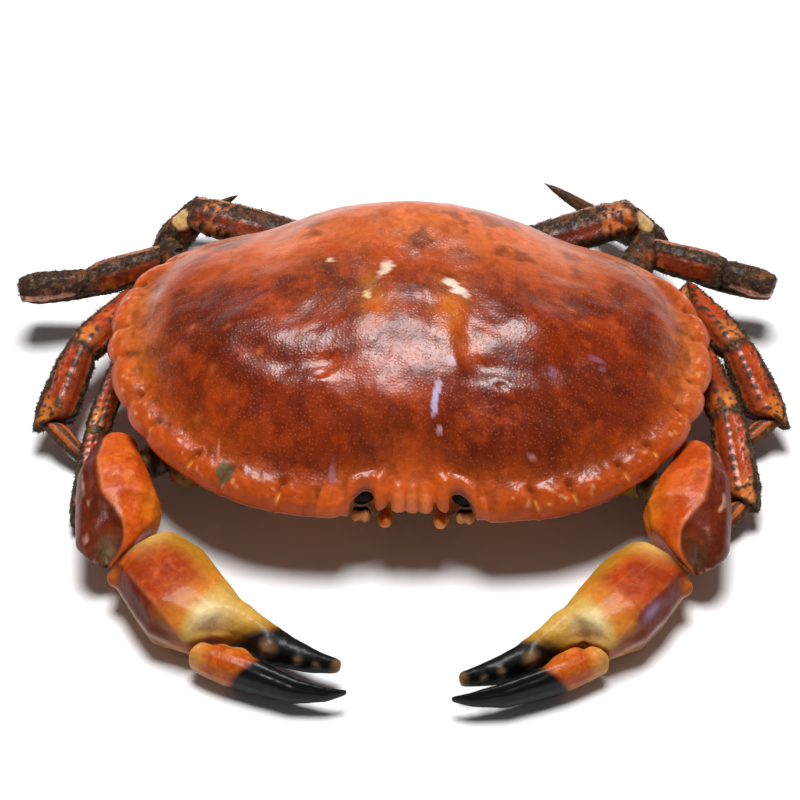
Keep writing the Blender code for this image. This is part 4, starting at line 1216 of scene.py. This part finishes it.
def make_simple(node, name, voxel, smoothing, tints, look, grooves=None, rough=0.42):
    """A softened solid mottled in two tints, with optional grooves that are darkened as painted shade."""
    points, faces = fine_copy(node, voxel, smoothing)
    normals = point_normals(points, faces)
    push = waver(points, 4.0, 3, 200, 0.4)
    shade = np.zeros(len(points))
    if grooves is not None:
        depth = grooves(points)
        push, shade = push - 0.8 * depth, depth
    points = points + normals * push[:, None]
    points[:, 2] = np.maximum(points[:, 2], 0.02)
    colour = mix(*tints, step(0.42, 0.66, fractal(points, 6.0, 3, 201)) * 0.8)
    # Painted shade: grooves are darkened in proportion to their depth.
    colour = mix(colour, colour * 0.45, shade * 0.7)
    slot = "under_shell" if look == "under" else "limb_shell"
    add_piece(name, points, faces, colour, (0.15, rough, 0.4), look, slot, node)


def make_eye(side):
    """The eye with its pale lower lid, and behind it a dark ball that stands for the painted shade inside
    the eye hollow.
    """
    node = f"eye_{side}"
    points, faces = fine_copy(node, 0.2, 3)
    normals = point_normals(points, faces)
    low, high = points.min(0), points.max(0)
    back = (points[:, 1] - low[1]) / (high[1] - low[1])
    up = (points[:, 2] - low[2]) / (high[2] - low[2])
    across = (points[:, 0] - low[0]) / (high[0] - low[0])
    lumps = 0.7 * bell(across - 0.15, 0.2) + 0.9 * bell(across - 0.8, 0.25) - 0.9 * bell(across - 0.5, 0.16)
    lumps += waver(points, 1.4, 2, 230, 0.8)
    points = points + normals * (0.8 * lumps * (1.0 - 0.6 * back))[:, None]
    colour = mix((192, 104, 46), (216, 150, 86), bell(up - 0.8, 0.3))
    colour = mix(colour, (22, 12, 8), step(0.45, 0.62, back + 0.1 * up))
    add_piece(f"eye_look_{side}", points, faces, colour, (0.0, 0.22, 0.2), "claw", "dark_shell", node)
    # Painted shade: a near-black ball fills the eye hollow behind the eye.
    points, faces = ball(5)
    centre = np.array([0.5 * (low[0] + high[0]), high[1] + 1.6, high[2] + 3.6])
    bumps = 1.0 + 0.10 * (fractal(points, 0.5, 2, 231)[:, None] - 0.5)
    points = points * np.array([4.3, 3.8, 4.4]) * bumps + centre
    colour = mix((12, 6, 4), (34, 15, 8), fractal(points, 1.6, 2, 232))
    add_piece(f"orbit_shade_bowl_{side}", points, faces, colour, (0.0, 0.5, 0.2), "bristle", "dark_shell")


def antenna_knob(points):
    """Swollen end of the antenna's stout base."""
    ahead = (points[:, 1].max() - points[:, 1]) / np.ptp(points[:, 1])
    return 0.3 * bell(ahead - 0.45, 0.08) - 1.05 * step(0.2, 0.6, ahead)


def breast_grooves(points):
    """Seams between the plates of the breast."""
    x, y = np.abs(points[:, 0] - BODY_MIDDLE[0]), points[:, 1] - BODY_MIDDLE[1]
    seam = np.abs((y + 0.18 * x + 4.0) / 12.0 % 1.0 - 0.5) * 12.0
    return bell(seam, 0.8) * step(20.0, 8.0, points[:, 2])


def tail_grooves(points):
    """Seams between the segments of the tail flap."""
    seam = np.abs((points[:, 1] - BODY_MIDDLE[1]) / 9.0 % 1.0 - 0.5) * 9.0
    return bell(seam, 0.7) * step(0.3, 1.0, points[:, 2]) * 0.5


def make_membranes():
    """Soft dark skin that joins neighbouring limb pieces."""
    chains = []
    for side in ("L", "R"):
        chains.append([f"claw_{p}_{side}" for p in ("merus", "carpus")])
        for leg in "2345":
            chains.append([f"leg{leg}_{p}_{side}" for p in LEG_ORDER[:4]])
    for chain in chains:
        for first, second in zip(chain, chain[1:]):
            a, b = cad_points(first), cad_points(second)
            gap = np.linalg.norm(a[:, None] - b[None], axis=2)
            i, j = np.unravel_index(np.argsort(gap, axis=None)[:12], gap.shape)
            joint = 0.5 * (a[i].mean(0) + b[j].mean(0))
            joint = 0.6 * joint + 0.2 * a[np.argsort(np.linalg.norm(a - joint, axis=1))[:14]].mean(0)
            joint = joint + 0.2 * b[np.argsort(np.linalg.norm(b - joint / 0.8, axis=1))[:14]].mean(0)
            span = b.mean(0) - a.mean(0)
            axis = span / np.linalg.norm(span)
            size = 0.31 * min(np.ptp(a[:, 2]), np.ptp(b[:, 2]))
            points, faces = ball(4)
            fold = 1.0 + 0.06 * np.cos(points @ axis * 16.0) + 0.10 * (noise(points, 0.5, 211) - 0.5)
            points = points * fold[:, None] * size + joint
            points[:, 2] = np.maximum(points[:, 2], 0.4)
            blot = step(0.42, 0.62, fractal(points, 3.0, 3, 210))
            colour = mix((104, 80, 36), (44, 32, 14), blot)
            masks = (0.0, 0.5, 0.3)
            add_piece(f"skin_{first}", points, faces, colour, masks, "under", "under_shell")


# ---------------------------------------------------------------- stage
def make_floor():
    """Wide pale matt floor."""
    data = bpy.data.meshes.new("floor")
    corners = [(x * FLOOR_REACH, y * FLOOR_REACH, 0.0) for x, y in ((-1, -1), (1, -1), (1, 1), (-1, 1))]
    data.from_pydata(corners, [], [(0, 1, 2, 3)])
    floor = bpy.data.objects.new("floor", data)
    material = bpy.data.materials.new("floor_look")
    material.use_nodes = True
    shader = material.node_tree.nodes["Principled BSDF"]
    shader.inputs["Base Color"].default_value = (0.86, 0.86, 0.86, 1.0)
    shader.inputs["Roughness"].default_value = 0.9
    shader.inputs["Specular IOR Level"].default_value = 0.1
    data.materials.append(material)
    bpy.context.scene.collection.objects.link(floor)


def make_light():
    """Dim sky with a glow low down behind, and a round softbox overhead."""
    world = bpy.data.worlds.new("studio")
    world.use_nodes = True
    tree = world.node_tree
    direction = new_node(tree, "ShaderNodeSeparateXYZ")
    tree.links.new(new_node(tree, "ShaderNodeTexCoord").outputs["Generated"], direction.inputs[0])
    behind = ramp(tree, direction.outputs["Y"], 0.60, 0.95)
    low_down = ramp(tree, direction.outputs["Z"], 0.42, 0.10)
    glow = maths(tree, "MULTIPLY", behind, low_down)
    glow = maths(tree, "ADD", maths(tree, "MULTIPLY", glow, GLOW_STRENGTH), SKY_STRENGTH)
    tree.links.new(glow, tree.nodes["Background"].inputs["Strength"])
    tree.nodes["Background"].inputs["Color"].default_value = (1.0, 1.0, 1.0, 1.0)
    bpy.context.scene.world = world
    lamp = bpy.data.lights.new("softbox", "AREA")
    lamp.shape = "DISK"
    lamp.size = SOFTBOX_SIZE
    lamp.energy = SOFTBOX_POWER
    softbox = bpy.data.objects.new("softbox", lamp)
    softbox.location = SOFTBOX_PLACE
    aim_at(softbox, Vector((0.0, 0.0, 0.03)))
    bpy.context.scene.collection.objects.link(softbox)


def make_camera():
    """Camera in front, looking down on the crab."""
    scene = bpy.context.scene
    azimuth, elevation = math.radians(VIEW_AZIMUTH_DEG), math.radians(VIEW_ELEVATION_DEG)
    level = math.cos(elevation)
    back = Vector((math.sin(azimuth) * level, -math.cos(azimuth) * level, math.sin(elevation)))
    aim = (CAD_LOW + CAD_HIGH) / 2.0 + Vector(AIM_OFFSET_MM) * MM
    lens = bpy.data.cameras.new("camera")
    lens.lens = LENS_MM
    lens.sensor_width = 36.0
    lens.clip_start = 0.01
    camera = bpy.data.objects.new("camera", lens)
    camera.location = aim + back * VIEW_DISTANCE_MM * MM
    aim_at(camera, aim)
    scene.collection.objects.link(camera)
    scene.camera = camera
    scene.view_settings.view_transform = "Standard"


def aim_at(thing, target):
    """Turn a light or camera to look at a point."""
    thing.rotation_mode = "QUATERNION"
    thing.rotation_quaternion = (target - thing.location).to_track_quat("-Z", "Y")


def main():
    """Build every piece, then the stage."""
    make_shell()
    for side in ("L", "R"):
        make_claw_arm(side)
        make_claw_wrist(side)
        make_claw_palm(side)
        make_claw_finger(side)
        make_eye(side)
        make_simple(f"antenna_{side}", f"feeler_{side}", 0.22, 3, FEELER_TINTS, "claw", antenna_knob, 0.3)
        make_simple(f"maxilliped_{side}", f"mouth_plate_{side}", 0.5, 6, MOUTH_TINTS, "claw")
        for leg in "2345":
            make_hip(leg, side)
            for piece in LEG_ORDER[1:]:
                make_leg_piece(leg, piece, side)
    make_simple("thorax", "breast", 1.0, 6, BREAST_TINTS, "under", breast_grooves)
    make_simple("abdomen", "tail_flap", 0.5, 3, TAIL_TINTS, "under", tail_grooves)
    make_membranes()
    make_bristles()
    make_floor()
    make_light()
    make_camera()


main()
